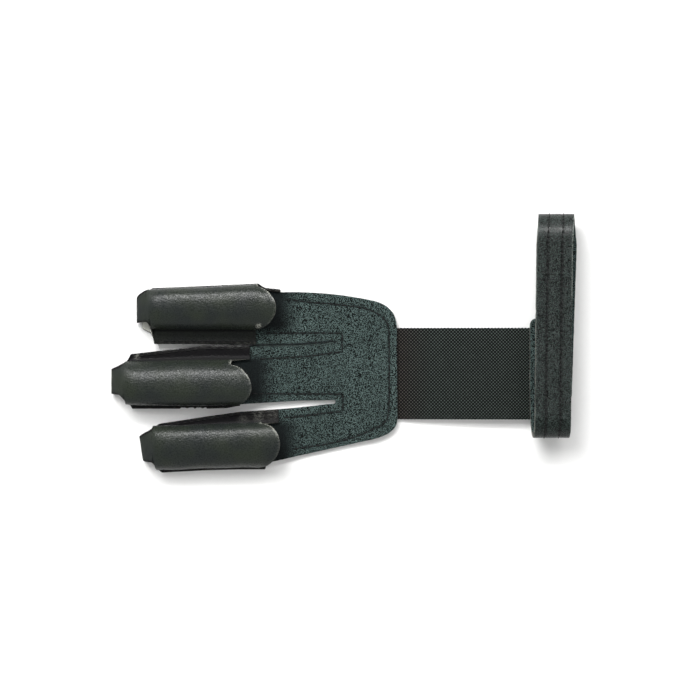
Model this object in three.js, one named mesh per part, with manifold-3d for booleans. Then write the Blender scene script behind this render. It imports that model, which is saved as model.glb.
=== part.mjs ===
// A three-finger archery shooting glove, lying palm side up on a table.
// The suede back runs from the fingertips to the back of the hand and is slit between the fingers.
// Each fingertip is a stall: one leather cover folded over the tip, its upper half raised in a barrel
// that a finger fills, its lower half a flat ply, and both sewn to the suede along flat seam allowances.
// An elastic strip joins the suede back to a wrist strap, which is closed in a loop.
// Units are millimetres: +X runs from the fingertips to the wrist, +Y towards the index finger, +Z up.
// The origin is at the middle of the glove's outline, on the surface that it lies on.
import * as THREE from "three";
import { mergeVertices } from "three/addons/utils/BufferGeometryUtils.js";
import Module from "manifold-3d";

// Driving dimensions
const halfLength = 111.4;
const halfSpan = 61.6;
const layerGap = 0.3;
const coverThickness = 1.2;
const suedeThickness = 1.4;
const elasticThickness = 1.2;
const strapThickness = 2.4;
const strapWidth = 17;

// Heights of the stacked layers of a finger, each given at the middle of its thickness
const plyHeight = coverThickness / 2;
const suedeHeight = coverThickness + layerGap + suedeThickness / 2;
const seamHeight = suedeHeight + (suedeThickness + coverThickness) / 2 + layerGap;

// The finger stalls. fold is where the cover turns under at the fingertip, as wide as 2 half, and slant
// draws its upper end back. The cover's corners are clipped off beside the fold: from neck to shoulder,
// both measured back from the fold, its edge runs out to the full width, bowed outwards by a share.
// Each row is a section across the finger: the cover's two edges, its two seams and the barrel's rise.
const stalls = [
  {
    name: "index_stall",
    fold: { x: -99.3, y: 15.4, half: 6.0, slant: 0 },
    upperCorner: { neck: 0.3, shoulder: 6.5, bow: 0.6 },
    lowerCorner: { neck: 3.6, shoulder: 8.4, bow: -0.1 },
    lean: 1.0,
    mouth: { x: -32.2, depth: 9.5, upperFlange: -30.6, lowerFlange: -42.3 },
    sections: [
      { x: -91.5, upperEdge: 25.9, upperSeam: 24.4, lowerSeam: 8.1, lowerEdge: 0.0, rise: 9.2 },
      { x: -66.5, upperEdge: 26.9, upperSeam: 25.4, lowerSeam: 8.0, lowerEdge: -0.1, rise: 9.6 },
      { x: -42.0, upperEdge: 28.0, upperSeam: 26.4, lowerSeam: 8.0, lowerEdge: -0.2, rise: 10.0 },
      { x: -38.5, upperEdge: 26.3, upperSeam: 25.1, lowerSeam: 8.0, lowerEdge: -0.2, rise: 10.0 },
      { x: -30.6, upperEdge: 25.7, upperSeam: 24.5, lowerSeam: 8.0, lowerEdge: -0.2, rise: 10.0 },
    ],
  },
  {
    name: "middle_stall",
    fold: { x: -halfLength, y: -18.1, half: 5.9, slant: 0 },
    upperCorner: { neck: 0.5, shoulder: 8.8, bow: -0.4 },
    lowerCorner: { neck: 3.8, shoulder: 8.8, bow: 0 },
    lean: -2.0,
    mouth: { x: -43.8, depth: 10.5, upperFlange: -45.2, lowerFlange: -50.0 },
    sections: [
      { x: -101.4, upperEdge: -5.4, upperSeam: -8.9, lowerSeam: -26.6, lowerEdge: -30.2, rise: 9.2 },
      { x: -66.8, upperEdge: -1.2, upperSeam: -8.4, lowerSeam: -26.8, lowerEdge: -30.9, rise: 9.6 },
      { x: -43.8, upperEdge: -0.9, upperSeam: -8.5, lowerSeam: -26.1, lowerEdge: -28.6, rise: 10.0 },
    ],
  },
  {
    name: "ring_stall",
    fold: { x: -97.2, y: -50.0, half: 5.5, slant: 0.85 },
    upperCorner: { neck: 1.0, shoulder: 8.6, bow: 0.1 },
    lowerCorner: { neck: 3.8, shoulder: 8.0, bow: 0 },
    lean: -1.5,
    mouth: { x: -30.3, depth: 9.5, upperFlange: -31.3, lowerFlange: -38.5 },
    sections: [
      { x: -87.0, upperEdge: -38.9, upperSeam: -40.5, lowerSeam: -59.1, lowerEdge: -halfSpan, rise: 9.2 },
      { x: -66.0, upperEdge: -35.5, upperSeam: -40.0, lowerSeam: -58.4, lowerEdge: -60.6, rise: 9.6 },
      { x: -50.0, upperEdge: -33.1, upperSeam: -39.3, lowerSeam: -58.0, lowerEdge: -60.4, rise: 9.8 },
      { x: -30.3, upperEdge: -31.3, upperSeam: -38.6, lowerSeam: -57.6, lowerEdge: -60.2, rise: 10.0 },
    ],
  },
];

// The barrel's half section, from the seam to the crown: across is a share of the half base, rise of the crown.
const barrelHalf = [
  { across: 1.0, rise: 0.0 },
  { across: 1.04, rise: 0.15 },
  { across: 1.08, rise: 0.36 },
  { across: 1.0, rise: 0.6 },
  { across: 0.76, rise: 0.84 },
  { across: 0.4, rise: 0.965 },
  { across: 0.0, rise: 1.0 },
];
const seamShare = 0.85;

// The fingertip, measured back from the fold: the nose, the fold itself and where the suede begins
const blankHalf = 18;
const flatEnd = 6;
const noseLength = 13;
const noseSteps = [13, 10, 8, flatEnd, 4, 2.2, 1.0, 0.3, 0];
const foldRadius = 1.6;
const foldSteps = 3;
const settled = 6;
const tabStart = 9.2;

// How finely the cover is divided: along the barrel and the lower ply, and across each half of the barrel
const barrelSteps = 7;
const plySteps = 4;
const barrelColumnCount = 8;
const flangeColumns = [1.0];
const clipMargin = 3;
const clipOvershoot = 0.6;
const clipHeight = 30;

// The suede back's outline from the index finger round to the ring finger
const suede = {
  upperStart: new THREE.Vector2(-30.2, 24.6),
  upperPull: new THREE.Vector2(-7.3, 25.2),
  upperEnd: new THREE.Vector2(14.5, 20.4),
  upperCorner: [new THREE.Vector2(21.5, 18.6), new THREE.Vector2(25.0, 14.5)],
  sideTop: new THREE.Vector2(25.2, 7.8),
  sideBottom: new THREE.Vector2(25.5, -36.2),
  lowerCorner: [new THREE.Vector2(25.3, -41.5), new THREE.Vector2(20.5, -44.0)],
  lowerEnd: new THREE.Vector2(13.8, -45.8),
  lowerStart: new THREE.Vector2(-35.7, -56.8),
};

// The slits between the fingers. Each row gives the two lips at one place, from the root to the fingertips.
const indexSlit = [
  { x: -4.4, upper: 1.35, lower: 0.8 },
  { x: -22.6, upper: -0.15, lower: -0.75 },
  { x: -42.3, upper: -0.35, lower: -1.05 },
  { x: -66.8, upper: -0.2, lower: -1.5 },
];
const ringSlit = [
  { x: -4.3, upper: -27.0, lower: -28.6 },
  { x: -20.6, upper: -27.3, lower: -30.4 },
  { x: -29.5, upper: -27.8, lower: -31.2 },
  { x: -45.2, upper: -28.7, lower: -32.7 },
  { x: -66.8, upper: -30.6, lower: -35.8 },
];

// How the suede back lies: high on the stalls' plies, down on the table, then up over the elastic strip
const suedeDrape = [
  { x: -108, z: suedeHeight },
  { x: -29, z: suedeHeight },
  { x: -18, z: 1.2 },
  { x: -5, z: 0.95 },
  { x: 7, z: 1.15 },
  { x: 15, z: 2.3 },
  { x: 19, z: 2.45 },
  { x: 28, z: 2.45 },
];

// The elastic strip: how its middle runs from under the suede back to under the wrist strap
const elastic = { upper: 7.5, lower: -36.2 };
const elasticDrape = [
  { x: 17, z: 0.8 },
  { x: 32, z: 0.85 },
  { x: 50, z: 1.8 },
  { x: 68, z: 3.2 },
  { x: 86, z: 4.3 },
  { x: 96, z: 4.3 },
];

// The wrist strap's loop. It starts over the elastic strip, turns up, runs back over the top, turns down
// and ends underneath its own start. Heights are of the middle of the strap, and x is its centre line.
const strapStart = { y: 12.2, z: 6.4, x: 97.0 };
const strapNearFold = { y: -34.6, reach: 8.9, x: 98.0 };
const strapTop = { z: 18.8, nearX: 98.1, farX: 99.0 };
const farReach = 10.7;
const strapFarFold = { y: halfSpan - farReach - strapThickness / 2, reach: farReach, x: 100.8 };
const strapUnder = { z: strapThickness / 2, x: halfLength - strapWidth / 2, bendX: 101.5, bendY: 6 };
const strapEnd = { y: -28, x: 100.4 };
const strapFoldSteps = 10;
const strapCornerRadius = 3.5;

// The hook-and-loop pad that holds the strap closed
const pad = { x: 100.7, width: 8.2, thickness: 2.2, upper: 9, lower: -26 };

const wasm = await Module();
wasm.setup();

// A solid from a mesh geometry, for cutting and joining.
function solidOf(geometry) {
  const bare = geometry.clone();
  bare.deleteAttribute("normal");
  bare.deleteAttribute("uv");
  const merged = mergeVertices(bare, 1e-4);
  return new wasm.Manifold(
    new wasm.Mesh({
      numProp: 3,
      vertProperties: merged.attributes.position.array,
      triVerts: new Uint32Array(merged.index.array),
    }),
  );
}

// A mesh geometry from a solid.
function geometryOf(solid) {
  const mesh = solid.getMesh();
  const geometry = new THREE.BufferGeometry();
  geometry.setAttribute("position", new THREE.BufferAttribute(mesh.vertProperties, 3));
  geometry.setIndex(new THREE.BufferAttribute(mesh.triVerts, 1));
  const flat = geometry.toNonIndexed();
  flat.computeVertexNormals();
  return flat;
}

// The value of one column of a table at x, straight between its rows and level past its ends.
function columnAt(rows, x, column) {
  const inOrder = [...rows].sort((a, b) => a.x - b.x);
  const after = inOrder.findIndex((row) => row.x >= x);
  if (after === 0) return inOrder[0][column];
  if (after < 0) return inOrder[inOrder.length - 1][column];
  const low = inOrder[after - 1];
  const high = inOrder[after];
  return THREE.MathUtils.mapLinear(x, low.x, high.x, low[column], high[column]);
}

// A closed solid of even thickness around a grid of points on the middle of a sheet.
function thickSheet(grid, thickness) {
  const rows = grid.length;
  const columns = grid[0].length;
  const sides = [[], []];
  for (let i = 0; i < rows; i++) {
    for (let j = 0; j < columns; j++) {
      const along = new THREE.Vector3().subVectors(
        grid[Math.min(i + 1, rows - 1)][j],
        grid[Math.max(i - 1, 0)][j],
      );
      const across = new THREE.Vector3().subVectors(
        grid[i][Math.min(j + 1, columns - 1)],
        grid[i][Math.max(j - 1, 0)],
      );
      const normal = along.cross(across).normalize();
      sides[0].push(grid[i][j].clone().addScaledVector(normal, thickness / 2));
      sides[1].push(grid[i][j].clone().addScaledVector(normal, -thickness / 2));
    }
  }
  const count = rows * columns;
  const at = (i, j, side) => side * count + i * columns + j;
  const index = [];
  const quad = (a, b, c, d) => index.push(a, b, c, a, c, d);
  for (let i = 0; i + 1 < rows; i++) {
    for (let j = 0; j + 1 < columns; j++) {
      quad(at(i, j, 0), at(i + 1, j, 0), at(i + 1, j + 1, 0), at(i, j + 1, 0));
      quad(at(i, j, 1), at(i, j + 1, 1), at(i + 1, j + 1, 1), at(i + 1, j, 1));
    }
  }
  for (let i = 0; i + 1 < rows; i++) {
    quad(at(i, 0, 0), at(i, 0, 1), at(i + 1, 0, 1), at(i + 1, 0, 0));
    quad(at(i, columns - 1, 0), at(i + 1, columns - 1, 0), at(i + 1, columns - 1, 1), at(i, columns - 1, 1));
  }
  for (let j = 0; j + 1 < columns; j++) {
    quad(at(0, j, 0), at(0, j + 1, 0), at(0, j + 1, 1), at(0, j, 1));
    quad(at(rows - 1, j, 0), at(rows - 1, j, 1), at(rows - 1, j + 1, 1), at(rows - 1, j + 1, 0));
  }
  const geometry = new THREE.BufferGeometry();
  const points = sides.flat().flatMap((p) => [p.x, p.y, p.z]);
  geometry.setAttribute("position", new THREE.Float32BufferAttribute(points, 3));
  geometry.setIndex(index);
  return geometryOf(solidOf(geometry));
}

// The whole barrel section as a curve from the upper seam over the crown to the lower seam.
const barrelCurve = new THREE.CatmullRomCurve3(
  [
    ...barrelHalf.map((row) => new THREE.Vector3(row.across, row.rise, 0)),
    ...barrelHalf
      .slice(0, -1)
      .reverse()
      .map((row) => new THREE.Vector3(-row.across, row.rise, 0)),
  ],
  false,
  "catmullrom",
  0.5,
);

// The sheet's columns as shares of its half width: 1 is the upper edge, -1 the lower edge.
const barrelColumns = Array.from({ length: barrelColumnCount }, (_, k) => seamShare * (1 - k / barrelColumnCount));
const upperColumns = [...flangeColumns, ...barrelColumns];
const columnShares = [...upperColumns, 0, ...upperColumns.map((share) => -share).reverse()];

// The point of a stall's cover at x and at a share of its half width. nose lowers the barrel at the fingertip.
function coverPoint(stall, x, share, nose, seamZ) {
  const sections = stall.sections;
  const upperSeam = columnAt(sections, x, "upperSeam");
  const lowerSeam = columnAt(sections, x, "lowerSeam");
  if (Math.abs(share) > seamShare) {
    const seam = share > 0 ? upperSeam : lowerSeam;
    const edge = columnAt(sections, x, share > 0 ? "upperEdge" : "lowerEdge");
    const y = THREE.MathUtils.mapLinear(Math.abs(share), seamShare, 1, seam, edge);
    return new THREE.Vector3(x, y, seamZ);
  }
  const onBarrel = barrelCurve.getPoint((seamShare - share) / (2 * seamShare));
  const centre = (upperSeam + lowerSeam) / 2;
  const half = (upperSeam - lowerSeam) / 2;
  const rise = onBarrel.y * nose;
  const upright = THREE.MathUtils.clamp(onBarrel.x, -1, 1);
  const overhang = (onBarrel.x - upright) * nose ** 2;
  const y = centre + half * (upright + overhang) + stall.lean * rise;
  return new THREE.Vector3(x, y, seamZ + rise * columnAt(sections, x, "rise"));
}

// Where a column of the cover ends at the mouth: a round tongue between two square seam allowances.
function mouthEnd(stall, share) {
  const { x, depth, upperFlange, lowerFlange } = stall.mouth;
  if (share >= seamShare) return upperFlange;
  if (share <= -seamShare) return lowerFlange;
  const across = Math.min(1, Math.abs(barrelCurve.getPoint((seamShare - share) / (2 * seamShare)).x));
  return x - depth * (1 - Math.sqrt(1 - across * across));
}

// The solid that clips one corner off the cover, on the upper side (side 1) or the lower side (side -1).
function cornerClip(stall, side) {
  const { fold } = stall;
  const corner = side > 0 ? stall.upperCorner : stall.lowerCorner;
  const foldX = fold.x - side * fold.slant;
  const neck = new THREE.Vector2(foldX + corner.neck, fold.y + side * fold.half);
  const shoulderX = foldX + corner.shoulder;
  const edge = columnAt(stall.sections, shoulderX, side > 0 ? "upperEdge" : "lowerEdge");
  const shoulder = new THREE.Vector2(shoulderX, edge + side * clipOvershoot);
  const outward = new THREE.Vector2(neck.x - shoulder.x, shoulder.y - neck.y).multiplyScalar(corner.bow / 2);
  const pull = neck.clone().add(shoulder).divideScalar(2).add(outward);
  const beyond = shoulder.clone().sub(pull).setLength(clipMargin).add(shoulder);
  const far = edge + side * blankHalf;
  const shape = new THREE.Shape();
  shape.moveTo(foldX - clipMargin, neck.y);
  shape.lineTo(neck.x, neck.y);
  shape.quadraticCurveTo(pull.x, pull.y, shoulder.x, shoulder.y);
  shape.lineTo(beyond.x, beyond.y);
  shape.lineTo(beyond.x, far);
  shape.lineTo(foldX - clipMargin, far);
  const clip = new THREE.ExtrudeGeometry(shape, { depth: clipHeight, bevelEnabled: false, curveSegments: 6 });
  return solidOf(clip.translate(0, 0, -clipMargin));
}

// A stall's cover: the upper half from the mouth to the nose, the fold, and the lower ply back to its end.
function stallCover(stall) {
  const grid = [];
  const foldX = stall.fold.x + coverThickness / 2;
  const slantAt = (share, fromFold) => {
    const halves = (blankHalf * share) / stall.fold.half;
    return -stall.fold.slant * halves * Math.max(0, 1 - fromFold / noseLength);
  };
  for (let step = 0; step < barrelSteps; step++) {
    grid.push(
      columnShares.map((share) => {
        const x = THREE.MathUtils.lerp(mouthEnd(stall, share), foldX + noseLength, step / barrelSteps);
        return coverPoint(stall, x, share, 1, seamHeight);
      }),
    );
  }
  for (const fromFold of noseSteps) {
    const nose = Math.sqrt(Math.max(0, 1 - (1 - fromFold / noseLength) ** 2));
    const settle = THREE.MathUtils.smoothstep(fromFold, 0, settled);
    const seamZ = THREE.MathUtils.lerp(plyHeight + foldRadius, seamHeight, settle);
    grid.push(
      columnShares.map((share) => {
        const point = coverPoint(stall, foldX + fromFold, share, nose, seamZ);
        const flat = stall.fold.y + blankHalf * share;
        point.y = THREE.MathUtils.lerp(flat, point.y, THREE.MathUtils.smoothstep(fromFold, 0, flatEnd));
        point.x += slantAt(share, fromFold);
        return point;
      }),
    );
  }
  for (let step = 1; step <= foldSteps; step++) {
    const turn = (step / foldSteps) * (Math.PI / 2);
    const back = foldRadius * (1 - Math.cos(turn));
    const z = plyHeight + foldRadius * (1 - Math.sin(turn));
    grid.push(
      columnShares.map((share) => {
        const y = stall.fold.y + blankHalf * share;
        return new THREE.Vector3(foldX + back + slantAt(share, back), y, z);
      }),
    );
  }
  const plyAt = (x, share) => {
    const upperEdge = columnAt(stall.sections, x, "upperEdge");
    const lowerEdge = columnAt(stall.sections, x, "lowerEdge");
    const y = THREE.MathUtils.mapLinear(share, -1, 1, lowerEdge, upperEdge);
    return new THREE.Vector3(x + slantAt(share, x - foldX), y, plyHeight);
  };
  const plyStart = foldX + flatEnd;
  grid.push(columnShares.map((share) => plyAt(plyStart, share)));
  const { upperFlange, lowerFlange } = stall.mouth;
  for (let step = 1; step <= plySteps; step++) {
    grid.push(
      columnShares.map((share) => {
        const end = THREE.MathUtils.mapLinear(share, -1, 1, lowerFlange, upperFlange);
        return plyAt(THREE.MathUtils.lerp(plyStart, end, step / plySteps), share);
      }),
    );
  }
  const blank = solidOf(thickSheet(grid, coverThickness));
  return geometryOf(blank.subtract(cornerClip(stall, 1)).subtract(cornerClip(stall, -1)));
}

// The suede back: its outline, cut out of a sheet that is draped along X.
function suedeBack() {
  const [index, middle, ring] = stalls;
  const inset = layerGap;
  const shape = new THREE.Shape();
  const indexTab = index.fold.x + tabStart;
  shape.moveTo(indexTab, columnAt(index.sections, indexTab, "upperEdge") - 2 * inset);
  shape.lineTo(-42, 26.4);
  shape.lineTo(suede.upperStart.x, suede.upperStart.y);
  shape.quadraticCurveTo(suede.upperPull.x, suede.upperPull.y, suede.upperEnd.x, suede.upperEnd.y);
  const [upperA, upperB] = suede.upperCorner;
  shape.bezierCurveTo(upperA.x, upperA.y, upperB.x, upperB.y, suede.sideTop.x, suede.sideTop.y);
  shape.lineTo(suede.sideBottom.x, suede.sideBottom.y);
  const [lowerA, lowerB] = suede.lowerCorner;
  shape.bezierCurveTo(lowerA.x, lowerA.y, lowerB.x, lowerB.y, suede.lowerEnd.x, suede.lowerEnd.y);
  shape.lineTo(suede.lowerStart.x, suede.lowerStart.y);
  const ringTab = ring.fold.x + tabStart;
  shape.lineTo(-50, columnAt(ring.sections, -50, "lowerEdge") + inset);
  shape.lineTo(ringTab, columnAt(ring.sections, ringTab, "lowerEdge") + inset);
  shape.lineTo(ringTab, columnAt(ring.sections, ringTab, "upperEdge") - inset);
  for (const row of [...ringSlit].reverse()) shape.lineTo(row.x, row.lower);
  for (const row of ringSlit) shape.lineTo(row.x, row.upper);
  const middleTab = middle.fold.x + tabStart;
  shape.lineTo(middleTab, columnAt(middle.sections, middleTab, "lowerEdge") + inset);
  shape.lineTo(middleTab, columnAt(middle.sections, middleTab, "upperEdge") - inset);
  for (const row of [...indexSlit].reverse()) shape.lineTo(row.x, row.lower);
  for (const row of indexSlit) shape.lineTo(row.x, row.upper);
  shape.lineTo(indexTab, columnAt(index.sections, indexTab, "lowerEdge") + inset);
  const outline = new THREE.ExtrudeGeometry(shape, { depth: 10, bevelEnabled: false, curveSegments: 8 });
  const across = [80, -80];
  const sheet = thickSheet(
    suedeDrape.map((row) => across.map((y) => new THREE.Vector3(row.x, y, row.z))).reverse(),
    suedeThickness,
  );
  return geometryOf(solidOf(sheet).intersect(solidOf(outline)));
}

// The elastic strip between the suede back and the wrist strap.
function elasticStrip() {
  const across = [elastic.lower, elastic.upper];
  return thickSheet(
    elasticDrape.map((row) => across.map((y) => new THREE.Vector3(row.x, y, row.z))),
    elasticThickness,
  );
}

// The middle line of the wrist strap: points with y and z along the loop, and x drifting sideways.
function strapLine() {
  const line = [];
  const add = (x, y, z) => line.push(new THREE.Vector3(x, y, z));
  const turn = (fold, from, to, startX, endX) => {
    const middle = (from + to) / 2;
    for (let step = 0; step <= strapFoldSteps; step++) {
      const angle = (step / strapFoldSteps) * Math.PI;
      const y = fold.y + fold.reachY * Math.sin(angle);
      const z = middle + (from - middle) * Math.cos(angle);
      const half = step / strapFoldSteps;
      const x = half < 0.5
        ? THREE.MathUtils.lerp(startX, fold.x, half * 2)
        : THREE.MathUtils.lerp(fold.x, endX, half * 2 - 1);
      add(x, y, z);
    }
  };
  for (const back of [0, 0.6, 2, strapCornerRadius, 20]) add(strapStart.x, strapStart.y - back, strapStart.z);
  const near = { ...strapNearFold, reachY: -strapNearFold.reach };
  turn(near, strapStart.z, strapTop.z, 97.2, strapTop.nearX);
  add((strapTop.nearX + strapTop.farX) / 2, 5, strapTop.z);
  const far = { ...strapFarFold, reachY: strapFarFold.reach };
  turn(far, strapTop.z, strapUnder.z, strapTop.farX, strapUnder.x);
  add(strapUnder.bendX, strapUnder.bendY, strapUnder.z);
  for (const back of [strapCornerRadius, 2, 0.6, 0]) add(strapEnd.x, strapEnd.y + back, strapUnder.z);
  return line;
}

// The wrist strap, with its two ends' corners rounded.
function wristStrap() {
  const line = strapLine();
  const last = line[line.length - 1];
  const grid = line.map((point) => {
    const fromEnd = Math.min(point.distanceTo(line[0]), point.distanceTo(last));
    const short = Math.max(0, strapCornerRadius - fromEnd);
    const cut = strapCornerRadius - Math.sqrt(strapCornerRadius ** 2 - short ** 2);
    const half = strapWidth / 2 - cut;
    return [half, -half].map((side) => new THREE.Vector3(point.x + side, point.y, point.z));
  });
  return thickSheet(grid, strapThickness);
}

// The hook-and-loop pad between the strap's two ends.
function strapFastener() {
  const box = new THREE.BoxGeometry(pad.width, pad.upper - pad.lower, pad.thickness);
  const height = strapThickness + layerGap + pad.thickness / 2;
  return box.translate(pad.x, (pad.upper + pad.lower) / 2, height);
}

const stallLeather = new THREE.MeshStandardMaterial({ color: "#333431", roughness: 0.5, metalness: 0 });
const suedeLeather = new THREE.MeshStandardMaterial({ color: "#3c4a48", roughness: 0.95, metalness: 0 });
const elasticWeb = new THREE.MeshStandardMaterial({ color: "#2e322f", roughness: 0.9, metalness: 0 });
const strapLeather = new THREE.MeshStandardMaterial({ color: "#3a413f", roughness: 0.6, metalness: 0 });
const hookAndLoop = new THREE.MeshStandardMaterial({ color: "#1f2120", roughness: 0.95, metalness: 0 });

const glove = new THREE.Group();
function addPiece(name, geometry, material) {
  const mesh = new THREE.Mesh(geometry, material);
  mesh.name = name;
  glove.add(mesh);
}

for (const stall of stalls) addPiece(stall.name, stallCover(stall), stallLeather);
addPiece("suede_back", suedeBack(), suedeLeather);
addPiece("elastic_strip", elasticStrip(), elasticWeb);
addPiece("wrist_strap", wristStrap(), strapLeather);
addPiece("strap_fastener", strapFastener(), hookAndLoop);

export default glove;
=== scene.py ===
# %% [markdown]
# # A three-finger shooting glove
#
# The glove lies palm side up on a table. Three leather finger stalls are sewn to a slit suede back, a
# woven elastic strip runs from the back to the wrist, and a two-ply leather strap closes round the wrist
# with hook-and-loop tape.
#
# The solids hold every size. This notebook dresses them: each one is replaced by a finer piece that is
# drawn on the same lines, with the thin plies, raw edges, stitches and creases of the real glove, and
# each piece gets the finish of its own material. Lengths are written in millimetres and turned to metres
# in one place.

import math
import random

import bpy
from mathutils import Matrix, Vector, kdtree, noise
from mathutils.geometry import delaunay_2d_cdt


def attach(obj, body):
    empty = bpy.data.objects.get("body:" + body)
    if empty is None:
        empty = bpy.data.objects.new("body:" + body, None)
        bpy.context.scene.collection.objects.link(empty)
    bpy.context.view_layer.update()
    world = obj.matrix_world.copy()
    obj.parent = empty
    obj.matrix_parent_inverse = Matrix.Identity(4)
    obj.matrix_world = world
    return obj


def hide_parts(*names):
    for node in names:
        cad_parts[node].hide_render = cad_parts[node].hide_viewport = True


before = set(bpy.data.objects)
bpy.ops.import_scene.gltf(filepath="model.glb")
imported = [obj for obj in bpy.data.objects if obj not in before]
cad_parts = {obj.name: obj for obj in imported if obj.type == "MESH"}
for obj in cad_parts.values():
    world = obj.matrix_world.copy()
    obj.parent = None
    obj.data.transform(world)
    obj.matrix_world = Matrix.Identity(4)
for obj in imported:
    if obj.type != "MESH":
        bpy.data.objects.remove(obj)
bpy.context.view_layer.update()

# %% [markdown]
# ## Camera
#
# The glove is seen from straight above, with its fingertips to the left. A long lens keeps the layers from
# spreading, but the strap's top layer still stands a little further out than its foot, so the camera is a
# real perspective one. It is placed by its height and by the width of table that it takes in.

# %% Camera
MM = 0.001
VIEW_HEIGHT = 900
VIEW_WIDTH = 336
SENSOR_WIDTH = 36
view_centre = (2.8, -3.05)

camera_data = bpy.data.cameras.new("overhead_camera")
camera_data.sensor_width = SENSOR_WIDTH
camera_data.lens = SENSOR_WIDTH * VIEW_HEIGHT / VIEW_WIDTH
camera_data.clip_start = 0.01
camera = bpy.data.objects.new("overhead_camera", camera_data)
camera.location = (view_centre[0] * MM, view_centre[1] * MM, VIEW_HEIGHT * MM)
bpy.context.scene.collection.objects.link(camera)
bpy.context.scene.camera = camera
print("lens in millimetres:", round(camera_data.lens, 1))

# %% [markdown]
# ## From a drawn surface to a sheet of leather
#
# Every part of the glove is a sheet: leather, suede or webbing. A sheet is easiest to draw as its middle
# surface, a net of points without thickness. Solidify then gives it the real thickness on both sides,
# Bevel rounds the cut edges a little, as a knife and handling do, and both are applied so that the piece
# is plain mesh. Solidify can also give the rim and the inner side materials of their own, which suits
# leather: a smooth grain side, a pale cut edge and a rough flesh side.

# %% Meshes from points in millimetres
def new_piece(name, points, faces, materials):
    """A smooth mesh object from points in millimetres."""
    mesh = bpy.data.meshes.new(name)
    mesh.from_pydata([tuple(c * MM for c in p) for p in points], [], faces)
    for material in materials:
        mesh.materials.append(material)
    mesh.shade_smooth()
    piece = bpy.data.objects.new(name, mesh)
    bpy.context.scene.collection.objects.link(piece)
    return piece


def net_faces(rows, columns):
    """The quads of a net of points that is stored row by row."""
    return [
        (i * columns + j, (i + 1) * columns + j, (i + 1) * columns + j + 1, i * columns + j + 1)
        for i in range(rows - 1)
        for j in range(columns - 1)
    ]


def mark_points(piece, **marks):
    """Gives each point of a piece a number under each name, for its finish to read."""
    for name, values in marks.items():
        piece.data.attributes.new(name, "FLOAT", "POINT").data.foreach_set("value", values)


# %% Thickness and rounded edges
def thicken(piece, thickness, edge_round, rim=1, inner=0):
    """Gives a middle surface its thickness, with the rim's and the inner side's own material slots."""
    solidify = piece.modifiers.new("thickness", "SOLIDIFY")
    solidify.thickness = thickness * MM
    solidify.offset = 0
    solidify.material_offset_rim = rim
    solidify.material_offset = inner
    bevel = piece.modifiers.new("rounded_edges", "BEVEL")
    bevel.width = edge_round * MM
    bevel.segments = 2
    bevel.limit_method = "ANGLE"
    bevel.angle_limit = math.radians(60)
    apply_modifiers(piece)


def apply_modifiers(piece):
    """Turns a piece's modifiers into plain mesh."""
    bpy.context.view_layer.update()
    graph = bpy.context.evaluated_depsgraph_get()
    finished = bpy.data.meshes.new_from_object(piece.evaluated_get(graph), depsgraph=graph)
    finished.name = piece.name
    piece.modifiers.clear()
    piece.data = finished


def settle(piece, node):
    """Makes a finished piece part of the glove: it rides on it, and stands for one of its solids."""
    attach(piece, "root")
    if node:
        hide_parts(node)
    print(piece.name, "has", sum(len(f.vertices) - 2 for f in piece.data.polygons), "triangles")


# %% [markdown]
# ## Tables and curves
#
# The glove's lines are kept as short tables: a value at each of a few places along the glove. Between its
# rows a table is read in a straight line, like a ruler laid between two marks. A smooth curve goes through
# its points without corners, as a thread or a bent sheet does.

# %% Reading tables and following curves
def mix(a, b, share):
    return a + (b - a) * share


def smooth(share):
    """A soft step from 0 to 1."""
    share = min(1.0, max(0.0, share))
    return share * share * (3 - 2 * share)


def at(table, x, column=1):
    """The value of a table's column at x, level past its two ends."""
    if x <= table[0][0]:
        return table[0][column]
    for low, high in zip(table, table[1:]):
        if x <= high[0]:
            return mix(low[column], high[column], (x - low[0]) / (high[0] - low[0]))
    return table[-1][column]


def curve_point(points, share):
    """A point of the smooth curve through the points, from 0 at its start to 1 at its end."""
    place = min(max(share, 0.0), 1.0) * (len(points) - 1)
    i = min(int(place), len(points) - 2)
    w = place - i
    start, end = points[i], points[i + 1]
    before = points[i - 1] if i else start * 2 - end
    after = points[i + 2] if i + 2 < len(points) else end * 2 - start
    rise_in = (end - before) * 0.5
    rise_out = (after - start) * 0.5
    return (
        start * (2 * w**3 - 3 * w**2 + 1)
        + rise_in * (w**3 - 2 * w**2 + w)
        + end * (3 * w**2 - 2 * w**3)
        + rise_out * (w**3 - w**2)
    )


def evenly(points, spacing):
    """Points at an even spacing along a line of points."""
    lengths = [0.0]
    for a, b in zip(points, points[1:]):
        lengths.append(lengths[-1] + (b - a).length)
    count = max(1, round(lengths[-1] / spacing))
    spread, i = [], 0
    for step in range(count + 1):
        target = lengths[-1] * step / count
        while i < len(points) - 2 and lengths[i + 1] < target:
            i += 1
        span = lengths[i + 1] - lengths[i] or 1
        spread.append(points[i].lerp(points[i + 1], (target - lengths[i]) / span))
    return spread


# %% [markdown]
# ## Finishes
#
# Every finish is made of nodes, so that it stays sharp at any distance and needs no pictures. The patterns
# are measured in millimetres on the piece itself, so a pore or a thread has a size that can be compared with
# the real one. A pixel of the picture covers 0.48 mm, and what is finer than that on the real glove is drawn
# as coarse as it needs to show.
#
# One helper adds a node. Its settings are properties, and each input is a number, a colour, an output, or
# another node, which then gives its first output. Where the mesh knows something that a pattern can't know,
# such as where the leather is worn or where shade and highlight are painted on it, it carries a number at each
# point, and an Attribute node reads it.

# %% Colour, coordinates and nodes
def linear(hex_colour):
    """An sRGB hex colour as the linear light that a shader works in."""
    channels = [int(hex_colour[i : i + 2], 16) / 255 for i in (1, 3, 5)]
    light = [c / 12.92 if c <= 0.04045 else ((c + 0.055) / 1.055) ** 2.4 for c in channels]
    return (*light, 1.0)


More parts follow.
